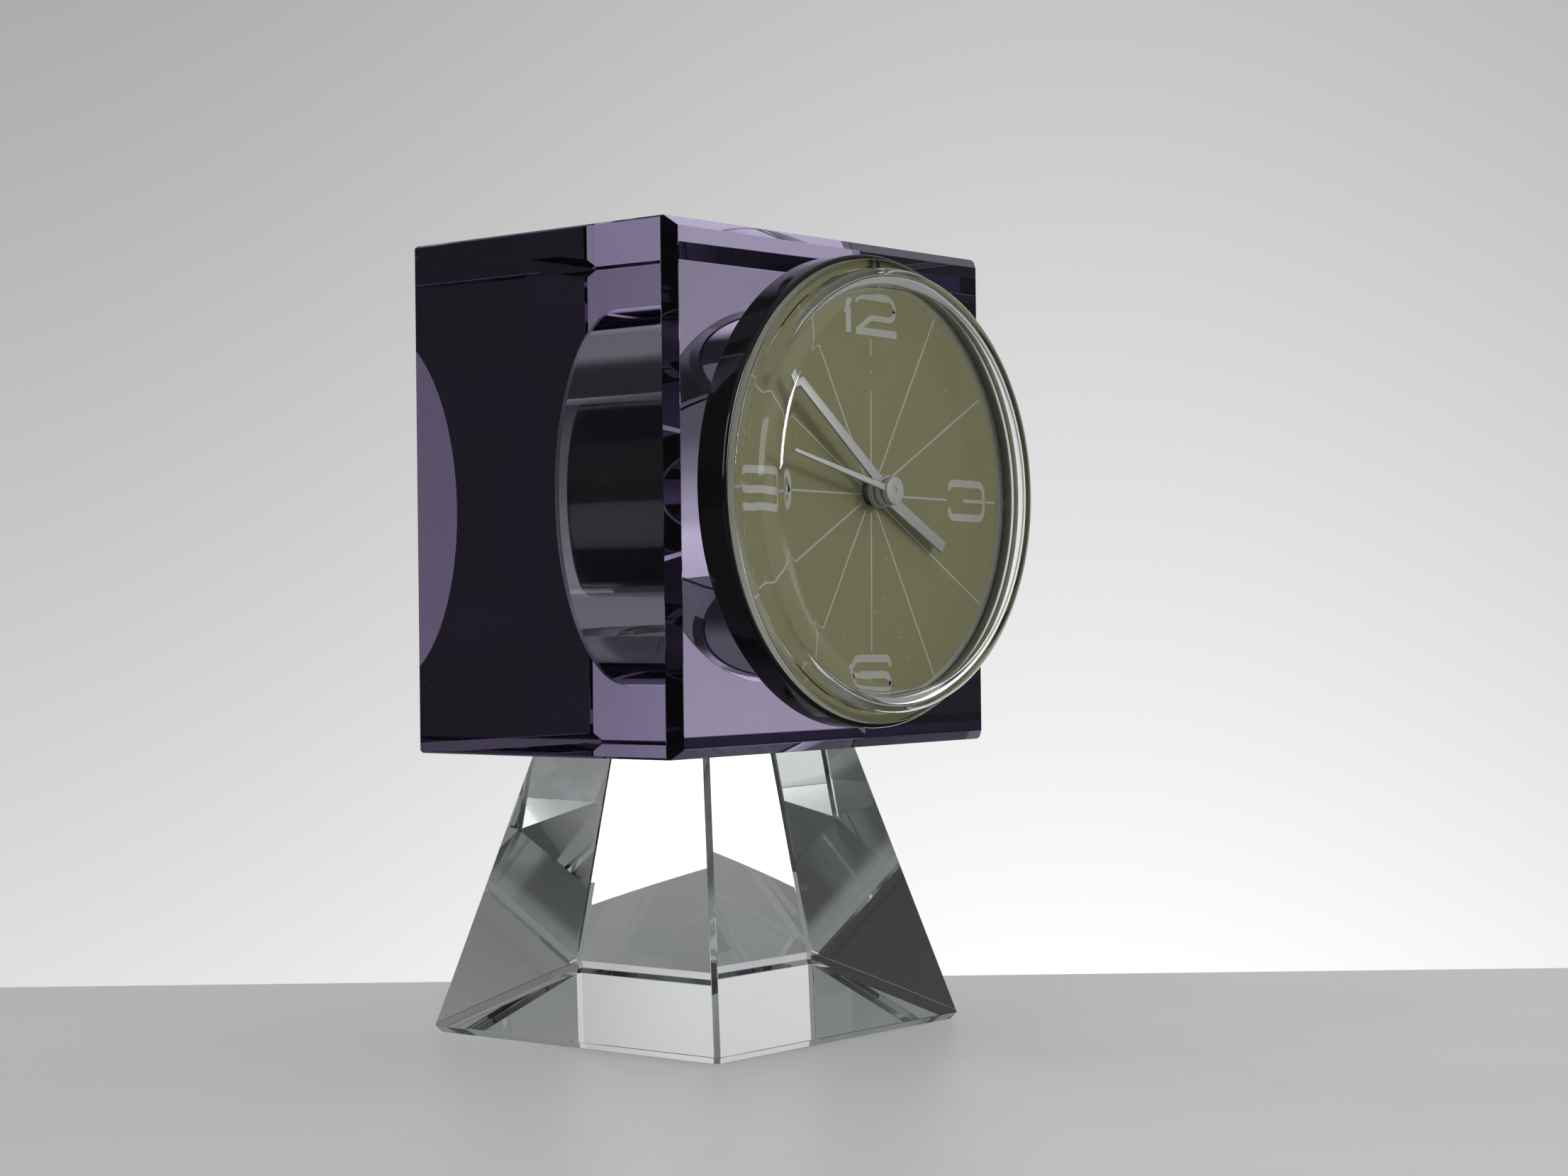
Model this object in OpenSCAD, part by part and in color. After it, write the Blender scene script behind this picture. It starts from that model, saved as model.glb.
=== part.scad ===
// Table clock: a round battery insert plugged into a violet glass block, on a clear glass foot.
// Millimetres, +Z up. The origin is the middle of the foot's resting face, and the dial faces -Y.
// Inside clock_axis() +z runs out of the dial from the block's front face, +x right, +y up.

/* [Foot] */
// Height of the clear foot
foot_h = 51; // [40:0.5:65]
// Side of the square that the foot's faces reach at the bottom
foot_bottom_w = 69; // [60:0.5:80]
// Side of the square that they reach under the block
foot_top_w = 42; // [32:0.5:50]
// Leg of the ground bevel on the four slanted edges
foot_edge = 0.8; // [0.3:0.1:2]
// Leg of the bevel round the resting face
foot_rim = 1.2; // [0.4:0.1:2]
// How far the foot's middle lies behind the block's middle
foot_set_back = 3.2; // [0:0.1:6]
// Thickness of the clear cement between foot and block
cement_t = 0.15; // [0.1:0.05:0.4]

/* [Block] */
// Width of the violet block
block_w = 87.5; // [86:0.5:110]
// Depth of the block, front to back
block_d = 62; // [52:0.5:90]
// Height of the block
block_h = 90; // [88:0.5:110]
// Leg of the bevel on the front and back edges, top and bottom
face_bevel = 1.7; // [0.5:0.1:2.5]
// Leg of the bevel on the side edges, top and bottom
side_bevel = 0.4; // [0.2:0.1:2]
// Leg of the bevel on the upright front left edge
near_bevel = 2.1; // [0.5:0.1:3]
// Leg of the bevel on the other three upright edges
upright_bevel = 1.4; // [0.5:0.1:3]
// Radius of the blind bore that holds the insert
bore_r = 33.5; // [33:0.1:36]
// Gap between the can and the bottom of the bore
bore_end_gap = 1; // [0.5:0.1:4]
// Leg of the ground bevel at the bore's mouth
bore_bevel = 0.4; // [0.2:0.1:1]

/* [Bezel] */
// Outer radius of the black bezel
bezel_r = 41.15; // [40.8:0.05:43]
// Wall of the bezel round the crystal
bezel_wall = 0.8; // [0.7:0.05:1.5]
// Width of the bezel's seat on the glass
bezel_seat_w = 3.95; // [2.5:0.05:5]
// Height over which the bezel flares from its seat to its rim
bezel_flare = 3.1; // [2:0.1:4]
// Height of the bezel's front lip above the glass
bezel_h = 9; // [8:0.1:10]
// Radius of the rounded front edge
bezel_round = 0.7; // [0.2:0.1:1]
// Width of the key that stops the crystal turning
key_w = 1.2; // [0.8:0.1:3]

/* [Crystal] */
// Width of the crystal's shoulder outside the raised drum
crystal_step = 1.8; // [1.2:0.1:3]
// Height of the shoulder above the glass block
shoulder_z = 10.35; // [9.6:0.05:11]
// Gap between the second hand's cap and the inside of the crystal
crystal_gap = 2.8; // [1:0.05:4]
// Thickness of the drum's front
crystal_front = 1.95; // [1.2:0.05:2.4]
// Wall of the drum's side
crystal_side = 2.3; // [1.2:0.1:2.8]
// Thickness of the shoulder
crystal_shoulder = 2.6; // [1.2:0.1:3]
// Wall of the crystal's skirt inside the bezel
crystal_skirt = 1.3; // [0.8:0.1:1.6]
// Radius of the rounded front edge of the drum
crystal_round = 4; // [0.4:0.1:4.6]

/* [Dial] */
// Height of the dial's front above the glass block
dial_z = 6.3; // [5.6:0.1:6.6]
// Thickness of the dial
dial_t = 0.8; // [0.4:0.1:1]
// Gap between the dial's edge and the bezel
dial_gap = 0.1; // [0.05:0.05:0.3]

/* [Hands] */
// Height of the hour hand's hub above the dial
hour_hand_rise = 1.6; // [1.4:0.05:2]
// Step from the hour hand's hub to the minute hand's
minute_hand_rise = 1.4; // [1.2:0.05:1.6]
// Step from the minute hand's hub to the second hand's
second_hand_rise = 1.35; // [1.2:0.05:1.6]
// Reach of the hour hand
hour_reach = 20.5; // [14:0.5:26]
// Width of the hour hand
hour_w = 2.3; // [1.5:0.1:3]
// Reach of the minute hand
minute_reach = 31.3; // [24:0.1:34]
// Width of the minute hand
minute_w = 1.9; // [1.2:0.1:3]
// Reach of the second hand
second_reach = 27.4; // [20:0.1:34]
// Width of the second hand at its tip
second_w = 0.6; // [0.4:0.1:1.2]
// Clockwise angle of the hour hand from twelve
hour_turn = 118; // [0:1:359]
// Clockwise angle of the minute hand from twelve
minute_turn = 307.5; // [0:0.5:359]
// Clockwise angle of the second hand from twelve
second_turn = 283; // [0:1:359]
// Thickness of the stamped hands
hand_t = 0.5; // [0.3:0.1:0.6]
// Radius of the second hand's cap
cap_r = 2.45; // [2:0.05:3]
// Radius of the minute hand's hub
minute_hub_r = 2.75; // [2.2:0.05:3.4]
// Radius of the hour hand's hub
hour_hub_r = 2.95; // [2.4:0.05:3.6]

/* [Can] */
// Gap between the can and the bore, taken up by the rubber ring
can_gap = 0.5; // [0.3:0.1:1]
// Wall of the can
can_wall = 1.5; // [1:0.1:2]
// Radius of the can's rounded rear edge
can_round = 2.2; // [0.5:0.1:2.4]
// Width of the rubber ring
ring_w = 2.4; // [1.5:0.1:4]

/* [Movement] */
// Thickness of the movement plates and the can's bulkhead
plate_t = 1.5; // [1:0.1:2]
// Gear module of the motion work behind the dial
motion_m = 0.35; // [0.3:0.01:0.36]
// Gear module of the going train
train_m = 0.3; // [0.26:0.01:0.32]
// Radial clearance of every turning shaft in its hole
run_gap = 0.06; // [0.03:0.01:0.1]
// Radius of the seconds arbor and of the train's arbors
arbor_r = 0.5; // [0.4:0.05:0.6]
// Thickness of the train wheels
wheel_t = 0.7; // [0.4:0.1:0.9]
// Radius of the setting knob
knob_r = 6; // [4:0.1:6.5]
// Radius of the coil
coil_r = 3.2; // [2:0.1:3.4]
// Radius of the AA cell
cell_r = 7.1; // [6.9:0.05:7.25]
// Length of the AA cell's body
cell_l = 49.2; // [47:0.1:49.5]

/* [Hidden] */
$fn = 64;

eps = 0.01;
big = 400;
root2 = sqrt(2);

// Levels of the glass
block_z = foot_h + cement_t;
block_mid_y = -foot_set_back;
front_y = block_mid_y - block_d / 2;
axis_z = block_z + block_h / 2;

// Bezel and can, along the clock's axis
can_r = bore_r - can_gap;
fit_gap = 0.05;
shelf_t = 1.8;
shelf_lap = 0.5;
ring_groove = 0.8;
shelf_z = dial_z - dial_t - shelf_t;
shelf_r = can_r - can_wall - shelf_lap;
bezel_seat_r = can_r + fit_gap + bezel_seat_w;
recess_r = bezel_r - bezel_wall;
crystal_foot_r = recess_r - fit_gap;
crystal_r = crystal_foot_r - crystal_step;
key_in = crystal_skirt + 0.2;
key_drop = 0.5;
ring_z = -5.4;
ring_seat_r = can_r - ring_groove;
ring_r = bore_r - fit_gap;

// Movement levels
front_plate_z = -0.3;
plate_rim = 0.9;
plate_r = can_r - can_wall - 0.1;
ledge_r = plate_r - 0.8;
gap_between_plates = 8.5;
back_plate_z = front_plate_z - gap_between_plates - plate_t;
screw_r = 0.9;
screw_head_r = 1.8;
screw_head_t = 1.2;
screw_head_gap = 0.5;
bulkhead_z = back_plate_z - screw_head_t - screw_head_gap - plate_t;
pillar_r = 2.2;
pillar_edge_gap = 2.4;
pillar_reach = ledge_r - pillar_r - pillar_edge_gap;
pillar_turns = [20, 140, 250];
thread_depth = 4;
slot_w = 0.5;
slot_deep = 0.4;

// Hubs and tubes on the centre line
cannon_wall = 0.54;
hour_pipe_wall = 0.74;
dial_hole_gap = 0.5;
cannon_bore = arbor_r + run_gap;
cannon_r = cannon_bore + cannon_wall;
hour_bore = cannon_r + run_gap;
hour_pipe_r = hour_bore + hour_pipe_wall;
dial_hole_r = hour_pipe_r + dial_hole_gap;
hour_hand_z = dial_z + hour_hand_rise;
minute_hand_z = hour_hand_z + minute_hand_rise;
second_hand_z = minute_hand_z + second_hand_rise;
hub_t = 0.9;
blade_lift = 0.25;
cap_t = 1.05;
crystal_top = second_hand_z + cap_t + crystal_gap + crystal_front;
cap_bevel = 0.2;
cap_blade_lift = 0.1;
dimple_r = 0.5;
dimple_depth = 0.15;
collar_wall = 0.2;

// Tooth counts
cannon_teeth = 12;
minute_teeth = 36;
minute_leaves = 10;
hour_teeth = 40;
set_teeth = 12;
seconds_leaves = 8;
third_teeth = 60;
third_leaves = 8;
centre_teeth = 64;
rotor_leaves = 8;
middle_teeth = 32;
middle_leaves = 8;
seconds_teeth = 60;

// Tooth form as shares of the module and of the pitch
tooth_add = 0.8;
tooth_ded = 1.2;
tooth_tip = 0.24;
tooth_root = 0.62;

// Rim, hub and arms of the wheels that are cut through
rim_w = 0.9;
arm_w = 1;
hub_wall = 0.9;

// Centre distances: two meshes share one distance wherever a wheel and its pinion do
motion_reach = motion_m * (cannon_teeth + minute_teeth) / 2;
hour_m = 2 * motion_reach / (minute_leaves + hour_teeth);
set_reach = motion_reach + motion_m * (minute_teeth + set_teeth) / 2;
third_reach = train_m * (seconds_leaves + third_teeth) / 2;
centre_m = 2 * third_reach / (third_leaves + centre_teeth);
middle_reach = train_m * (middle_leaves + seconds_teeth) / 2;
rotor_step = train_m * (rotor_leaves + middle_teeth) / 2;
third_dir = 180;
rotor_dir = -40;
rotor_reach = middle_reach + rotor_step;

// Levels of the going train, from the front plate back
centre_z = front_plate_z - 1.3;
third_z = centre_z - 1.8;
seconds_z = third_z - 1.6;
middle_z = seconds_z - 1.6;
leaf_extra = 0.3;
pivot_front = front_plate_z + plate_t - 0.6;
pivot_back = back_plate_z + 0.6;

// Levels of the motion work, from the front plate forward
motion_z = front_plate_z + plate_t + 0.4;
motion_t = 0.9;
hour_wheel_z = motion_z + motion_t + 0.35;
post_r = 0.8;

// Motor
magnet_r = 2.5;
magnet_l = 2.4;
magnet_z = seconds_z - 0.2;
stator_hole_r = magnet_r + 0.5;
stator_z = -4.4;
stator_t = 0.8;
stator_plate = 8.6;
stator_span = 17;
stator_edge_gap = 1.3;
leg_w = 3;
leg_end = sqrt(pow(ledge_r - stator_edge_gap, 2) - pow(stator_span / 2, 2)) - rotor_reach;
coil_inset = 2.2;
coil_u = leg_end - coil_inset;
coil_l = 10.6;
coil_wall_gap = 0.4;
winding_r = min(coil_r, coil_u - stator_plate / 2 - coil_wall_gap);
cheek_t = 0.6;
cheek_lip = 0.4;
bobbin_wall = 0.4;
core_r = 0.35;

// Circuit board, by its lower left corner
board_edge_gap = 0.9;
board_at = polar(ledge_r - board_edge_gap, 225);
board_size = [18, 9.5];
board_t = 1.2;
board_z = back_plate_z + plate_t;
chip_size = 5;
chip_t = 1.5;
chip_inset = 2;
quartz_l = 7.5;
quartz_r = 1.5;

// Rear chamber with the cell and the knob
cover_rim = 0.4;
cover_r = can_r - can_round - cover_rim;
cover_t = 1.5;
cover_gap = 0.1;
nub_r = 2.7;
nub_l = 1.2;
contact_t = 0.4;
contact_bow = 0.35;
contact_gap = 0.25;
cell_side_gap = 0.7;
cell_floor_gap = 0.2;
cell_sunk = 1.1;
bay_w = cell_l + nub_l + 2 * (contact_t + contact_bow + contact_gap);
bay_h = 2 * (cell_r + cell_side_gap);
bay_deep = cell_sunk + 2 * cell_r + cell_floor_gap;
bay_y = -4;
bay_wall = 1.1;
bay_roof_gap = 0.9;
can_depth = -bulkhead_z + bay_roof_gap + bay_wall + bay_deep;
bore_depth = can_depth + bore_end_gap;
cell_z = -can_depth + cell_sunk + cell_r;
knob_t = 3.1;
knob_sunk = 0.2;
well_gap = 1.2;
well_deep = 3.6;
well_wall = 1.1;
shaft_r = 1.2;
side_post_inset = 4.9;
low_post_inset = 7.9;
post_places = [polar(cover_r - side_post_inset, 138), polar(cover_r - side_post_inset, 42),
               polar(cover_r - low_post_inset, 270)];
cover_post_wall = 1.5;
cover_post_r = screw_r + cover_post_wall;
cover_head_t = 0.6;
cover_head_sunk = 0.1;
contact_w = 9;
contact_h = 12;
contact_bow_h = 8;
contact_tip_h = 1.2;

// One point of a circle
function polar(r, a) = [r * cos(a), r * sin(a)];

// Turn of a second gear that meshes with a first one that lies at turn1,
// where dir is the direction from the first to the second
function mesh_turn(dir, turn1, n1, n2) = dir + 180 - (360 / n2) * (0.5 - (dir - turn1) * n1 / 360);

// Outline of a wheel with straight-sided teeth
function gear_points(teeth, m) = [
    for (i = [0 : teeth - 1], side = [[-tooth_root, -tooth_ded], [-tooth_tip, tooth_add],
                                      [tooth_tip, tooth_add], [tooth_root, -tooth_ded]])
        polar(m * (teeth / 2 + side[1]), (i + side[0] / 2) * 360 / teeth)
];

// Places and turns of the wheels
minute_at = polar(motion_reach, 90);
set_at = polar(set_reach, 90);
third_at = polar(third_reach, third_dir);
middle_at = polar(middle_reach, rotor_dir);
rotor_at = polar(rotor_reach, rotor_dir);
minute_wheel_turn = mesh_turn(90, 0, cannon_teeth, minute_teeth);
hour_wheel_turn = mesh_turn(-90, 0, minute_leaves, hour_teeth);
set_pinion_turn = mesh_turn(90, minute_wheel_turn, minute_teeth, set_teeth);
third_wheel_turn = mesh_turn(third_dir, 0, seconds_leaves, third_teeth);
centre_wheel_turn = mesh_turn(third_dir + 180, 0, third_leaves, centre_teeth);
middle_leaf_turn = mesh_turn(rotor_dir, 0, seconds_teeth, middle_leaves);
rotor_leaf_turn = mesh_turn(rotor_dir, 0, middle_teeth, rotor_leaves);

// The clock's own axis: out of the block's front face
module clock_axis() {
    translate([0, front_y, axis_z]) rotate([90, 0, 0]) children();
}

// A round bar from z0 to z1
module bar(r, z0, z1) {
    translate([0, 0, z0]) cylinder(r = r, h = z1 - z0);
}

// A toothed wheel with its bore, cut through between rim and hub if it has a hub radius
module gear(teeth, m, t, bore, turn = 0, hub = 0) {
    linear_extrude(t) difference() {
        rotate(turn) polygon(gear_points(teeth, m));
        circle(r = bore);
        if (hub > 0) crossings(hub, m * (teeth / 2 - tooth_ded) - rim_w);
    }
}

// The four openings between a wheel's hub, rim and arms
module crossings(hub, rim) {
    difference() {
        circle(r = rim);
        circle(r = hub);
        for (a = [0, 90]) rotate(a) square([3 * rim, arm_w], center = true);
    }
}

// Side outline of the foot for a half width that depends on the height
module foot_outline(bottom, top, rim) {
    at_rim = bottom - (bottom - top) * foot_rim / foot_h;
    polygon([[-rim, 0], [rim, 0], [at_rim, foot_rim], [top, foot_h],
             [-top, foot_h], [-at_rim, foot_rim]]);
}

// A side outline drawn across the foot, turned about the upright axis
module across(turn) {
    rotate([0, 0, turn]) rotate([90, 0, 0]) translate([0, 0, -big / 2]) linear_extrude(big) children();
}

module glass_pedestal() {
    half_bottom = foot_bottom_w / 2;
    half_top = foot_top_w / 2;
    half_rim = half_bottom - foot_rim;
    color([0.86, 0.9, 0.88, 0.5]) intersection() {
        for_side(0, half_bottom, half_top, half_rim);
        for_side(90, half_bottom, half_top, half_rim);
        for_side(45, (2 * half_bottom - foot_edge) / root2, (2 * half_top - foot_edge) / root2,
                 (2 * half_rim - foot_edge) / root2);
        for_side(135, (2 * half_bottom - foot_edge) / root2, (2 * half_top - foot_edge) / root2,
                 (2 * half_rim - foot_edge) / root2);
    }
}

module for_side(turn, bottom, top, rim) {
    across(turn) foot_outline(bottom, top, rim);
}

module cement_film() {
    film_w = foot_top_w - 2 * foot_edge;
    color([0.95, 0.95, 0.95, 0.6])
        translate([-film_w / 2, -film_w / 2, foot_h]) cube([film_w, film_w, cement_t]);
}

// Rectangle with a bevel of its own at each corner, from the lower left one round
module bevelled(w, h, legs) {
    polygon([[-w / 2, -h / 2 + legs[0]], [-w / 2 + legs[0], -h / 2],
             [w / 2 - legs[1], -h / 2], [w / 2, -h / 2 + legs[1]],
             [w / 2, h / 2 - legs[2]], [w / 2 - legs[2], h / 2],
             [-w / 2 + legs[3], h / 2], [-w / 2, h / 2 - legs[3]]]);
}

module block_blank() {
    even_face = [face_bevel, face_bevel, face_bevel, face_bevel];
    even_side = [side_bevel, side_bevel, side_bevel, side_bevel];
    translate([0, block_mid_y, axis_z]) intersection() {
        translate([0, 0, -block_h / 2]) linear_extrude(block_h)
            bevelled(block_w, block_d, [near_bevel, upright_bevel, upright_bevel, upright_bevel]);
        rotate([90, 0, 90]) translate([0, 0, -block_w / 2]) linear_extrude(block_w)
            bevelled(block_d, block_h, even_face);
        rotate([90, 0, 0]) translate([0, 0, -block_d / 2]) linear_extrude(block_d)
            bevelled(block_w, block_h, even_side);
    }
}

module glass_block() {
    color([0.42, 0.36, 0.55, 0.6]) difference() {
        block_blank();
        clock_axis() {
            bar(bore_r, -bore_depth, 1);
            translate([0, 0, -bore_bevel])
                cylinder(r1 = bore_r, r2 = bore_r + bore_bevel + eps, h = bore_bevel + eps);
        }
    }
}

module bezel_ring() {
    color([0.05, 0.05, 0.05]) clock_axis() {
        rotate_extrude() {
            polygon([[can_r + fit_gap, 0], [bezel_seat_r, 0], [bezel_r, bezel_flare],
                     [bezel_r, bezel_h - bezel_round], [bezel_r - bezel_round, bezel_h],
                     [recess_r, bezel_h], [recess_r, dial_z - dial_t],
                     [can_r + fit_gap, dial_z - dial_t]]);
            translate([bezel_r - bezel_round, bezel_h - bezel_round]) intersection() {
                circle(r = bezel_round);
                square(bezel_round);
            }
            translate([shelf_r, shelf_z]) square([can_r + 2 * fit_gap - shelf_r, shelf_t]);
        }
        intersection() {
            translate([-key_w / 2, 0, dial_z]) cube([key_w, recess_r + 1, bezel_h - dial_z - key_drop]);
            difference() {
                bar(recess_r + eps, dial_z, bezel_h);
                bar(recess_r - key_in, dial_z - 1, bezel_h + 1);
            }
        }
    }
}

module case_can() {
    inner_r = can_r - can_wall;
    color([0.04, 0.04, 0.045]) clock_axis() difference() {
        union() {
            difference() {
                rotate_extrude() {
                    translate([0, -can_depth + can_round]) square([can_r, shelf_z + can_depth - can_round]);
                    translate([0, -can_depth]) square([can_r - can_round, can_round + eps]);
                    translate([can_r - can_round, -can_depth + can_round]) circle(r = can_round);
                }
                bar(inner_r, front_plate_z, shelf_z + 1);
                bar(ledge_r, bulkhead_z + plate_t, front_plate_z + 1);
                bar(inner_r, -can_depth + can_round + cover_t, bulkhead_z);
                bar(cover_r + cover_gap, -can_depth - 1, bulkhead_z);
                difference() {
                    bar(can_r + 1, ring_z, ring_z + ring_w);
                    bar(ring_seat_r, ring_z - 1, ring_z + ring_w + 1);
                }
            }
            for (p = post_places) translate([p[0], p[1], 0])
                bar(cover_post_r, -can_depth + cover_t, bulkhead_z + eps);
        }
        translate([set_at[0], set_at[1], 0]) bar(shaft_r + run_gap, bulkhead_z - 1, bulkhead_z + plate_t + 1);
        for (p = post_places) translate([p[0], p[1], 0])
            bar(screw_r, -can_depth - 1, -can_depth + cover_t + thread_depth + 0.5);
    }
}

// Box that is open to the rear, for the cell
module bay(extra, z_top) {
    translate([-bay_w / 2 - extra, bay_y - bay_h / 2 - extra, -can_depth - 1])
        cube([bay_w + 2 * extra, bay_h + 2 * extra, z_top + can_depth + 1]);
}

module rear_cover() {
    floor_z = -can_depth + bay_deep;
    well_z = -can_depth + well_deep;
    color([0.09, 0.09, 0.095]) clock_axis() difference() {
        union() {
            bar(cover_r, -can_depth, -can_depth + cover_t);
            intersection() {
                bay(bay_wall, floor_z + bay_wall);
                bar(cover_r, -can_depth, floor_z + bay_wall);
            }
            translate([set_at[0], set_at[1], 0])
                bar(knob_r + well_gap + well_wall, -can_depth, well_z + well_wall);
        }
        bay(0, floor_z);
        translate([set_at[0], set_at[1], 0]) {
            bar(knob_r + well_gap, -can_depth - 1, well_z);
            bar(shaft_r + run_gap, well_z - 1, well_z + well_wall + 1);
        }
        for (p = post_places) translate([p[0], p[1], 0]) {
            bar(screw_r + 0.1, -can_depth - 1, -can_depth + cover_t + 1);
            bar(screw_head_r + 0.1, -can_depth - 1, -can_depth + cover_head_sunk + cover_head_t);
        }
    }
}

module cover_screws() {
    neck_z = cover_head_sunk + cover_head_t;
    color([0.75, 0.75, 0.76]) clock_axis() for (p = post_places) translate([p[0], p[1], -can_depth])
        difference() {
            union() {
                bar(screw_head_r, cover_head_sunk, neck_z);
                bar(screw_r - fit_gap, neck_z - eps, cover_t + thread_depth);
            }
            translate([-screw_head_r, -slot_w / 2, 0])
                cube([2 * screw_head_r, slot_w, cover_head_sunk + slot_deep]);
        }
}

module grip_ring() {
    color([0.12, 0.12, 0.12]) clock_axis() rotate_extrude() {
        translate([ring_seat_r, ring_z]) square([can_r - ring_seat_r, ring_w]);
        translate([can_r - eps, ring_z + 0.3]) square([ring_r - can_r + eps, ring_w - 0.6]);
    }
}

module dial() {
    color([0.42, 0.41, 0.29]) clock_axis() difference() {
        bar(recess_r - dial_gap, dial_z - dial_t, dial_z);
        bar(dial_hole_r, dial_z - dial_t - 1, dial_z + 1);
    }
}

module crystal() {
    inner_foot = crystal_foot_r - crystal_skirt;
    inner_drum = crystal_r - crystal_side;
    color([0.85, 0.9, 0.88, 0.35]) clock_axis() difference() {
        rotate_extrude() difference() {
            union() {
                square([crystal_foot_r, shoulder_z]);
                square([crystal_r, crystal_top - crystal_round]);
                square([crystal_r - crystal_round, crystal_top]);
                translate([crystal_r - crystal_round, crystal_top - crystal_round])
                    circle(r = crystal_round);
            }
            square([inner_foot, shoulder_z - crystal_shoulder]);
            square([inner_drum, crystal_top - crystal_front]);
            square([crystal_foot_r + 1, dial_z]);
        }
        translate([-key_w / 2 - fit_gap, recess_r - key_in - fit_gap, 0])
            cube([key_w + 2 * fit_gap, 3 * key_in, bezel_h - key_drop + fit_gap]);
    }
}

// Flat hand that points at its clockwise angle from twelve
module blade(reach, root_w, tip_w, turn) {
    rotate(-turn) linear_extrude(hand_t)
        polygon([[-root_w / 2, 0], [root_w / 2, 0], [tip_w / 2, reach], [-tip_w / 2, reach]]);
}

module hour_hand() {
    color([0.62, 0.63, 0.6]) clock_axis() translate([0, 0, hour_hand_z]) difference() {
        union() {
            bar(hour_hub_r, 0, hub_t);
            translate([0, 0, blade_lift]) blade(hour_reach, hour_w, hour_w * 0.9, hour_turn);
        }
        bar(hour_pipe_r, -1, hub_t + 1);
    }
}

module minute_hand() {
    color([0.62, 0.63, 0.6]) clock_axis() translate([0, 0, minute_hand_z]) difference() {
        union() {
            bar(minute_hub_r, 0, hub_t);
            translate([0, 0, blade_lift]) blade(minute_reach, minute_w, minute_w * 0.9, minute_turn);
        }
        bar(cannon_r, -1, hub_t + 1);
    }
}

module second_hand() {
    color([0.62, 0.63, 0.6]) clock_axis() translate([0, 0, second_hand_z]) difference() {
        union() {
            bar(cap_r, 0, cap_t - cap_bevel);
            translate([0, 0, cap_t - cap_bevel])
                cylinder(r1 = cap_r, r2 = cap_r - cap_bevel, h = cap_bevel);
            translate([0, 0, cap_blade_lift]) blade(second_reach, second_w * 2, second_w, second_turn);
        }
        bar(arbor_r, -1, cap_t / 2);
        bar(dimple_r, cap_t - dimple_depth, cap_t + 1);
    }
}

module hour_wheel() {
    color([0.8, 0.66, 0.36]) clock_axis() difference() {
        union() {
            translate([0, 0, hour_wheel_z]) gear(hour_teeth, hour_m, motion_t, hour_bore, hour_wheel_turn);
            bar(hour_pipe_r, hour_wheel_z, hour_hand_z + hub_t - collar_wall);
        }
        bar(hour_bore, hour_wheel_z - 1, hour_hand_z + hub_t + 1);
    }
}

module cannon_pinion() {
    color([0.8, 0.66, 0.36]) clock_axis() difference() {
        union() {
            translate([0, 0, motion_z]) gear(cannon_teeth, motion_m, motion_t, cannon_bore);
            bar(cannon_r, centre_z - 0.3, minute_hand_z + hub_t - collar_wall);
            bar(cannon_r + 0.5, centre_z - 0.5, centre_z - run_gap);
        }
        bar(cannon_bore, centre_z - 1, minute_hand_z + hub_t + 1);
    }
}

module minute_wheel() {
    color([0.8, 0.66, 0.36]) clock_axis() translate([minute_at[0], minute_at[1], motion_z]) {
        gear(minute_teeth, motion_m, motion_t, post_r + run_gap, minute_wheel_turn);
        translate([0, 0, motion_t - eps])
            gear(minute_leaves, hour_m, motion_t + 0.45, post_r + run_gap);
    }
}

module centre_wheel() {
    color([0.8, 0.66, 0.36]) clock_axis() translate([0, 0, centre_z])
        gear(centre_teeth, centre_m, wheel_t, cannon_r + run_gap, centre_wheel_turn,
             cannon_r + run_gap + hub_wall);
}

module third_wheel() {
    color([0.8, 0.66, 0.36]) clock_axis() translate([third_at[0], third_at[1], 0]) {
        translate([0, 0, third_z])
            gear(third_teeth, train_m, wheel_t, arbor_r / 2, third_wheel_turn, arbor_r + 1.5 * hub_wall);
        translate([0, 0, centre_z - leaf_extra])
            gear(third_leaves, centre_m, wheel_t + 2 * leaf_extra, arbor_r / 2);
        bar(arbor_r, pivot_back, pivot_front);
    }
}

module seconds_arbor() {
    color([0.72, 0.72, 0.74]) clock_axis() {
        translate([0, 0, seconds_z])
            gear(seconds_teeth, train_m, wheel_t, arbor_r / 2, 0, arbor_r + 1.5 * hub_wall);
        translate([0, 0, third_z - leaf_extra])
            gear(seconds_leaves, train_m, wheel_t + 2 * leaf_extra, arbor_r / 2);
        bar(arbor_r, pivot_back, second_hand_z + cap_t / 2);
    }
}

module intermediate_wheel() {
    color([0.9, 0.9, 0.86]) clock_axis() translate([middle_at[0], middle_at[1], 0]) {
        translate([0, 0, middle_z]) gear(middle_teeth, train_m, wheel_t, arbor_r / 2);
        translate([0, 0, seconds_z - leaf_extra])
            gear(middle_leaves, train_m, wheel_t + 2 * leaf_extra, arbor_r / 2, middle_leaf_turn);
        bar(arbor_r, pivot_back, pivot_front);
    }
}

module rotor() {
    color([0.3, 0.3, 0.32]) clock_axis() translate([rotor_at[0], rotor_at[1], 0]) {
        bar(magnet_r, magnet_z, magnet_z + magnet_l);
        translate([0, 0, middle_z - leaf_extra])
            gear(rotor_leaves, train_m, magnet_z - middle_z + leaf_extra + eps, arbor_r / 2, rotor_leaf_turn);
        bar(arbor_r, pivot_back, pivot_front);
    }
}

// The motor's own axes: u outward from the centre line, v across it
module motor_axes() {
    translate([rotor_at[0], rotor_at[1], 0]) rotate(rotor_dir) children();
}

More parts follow.
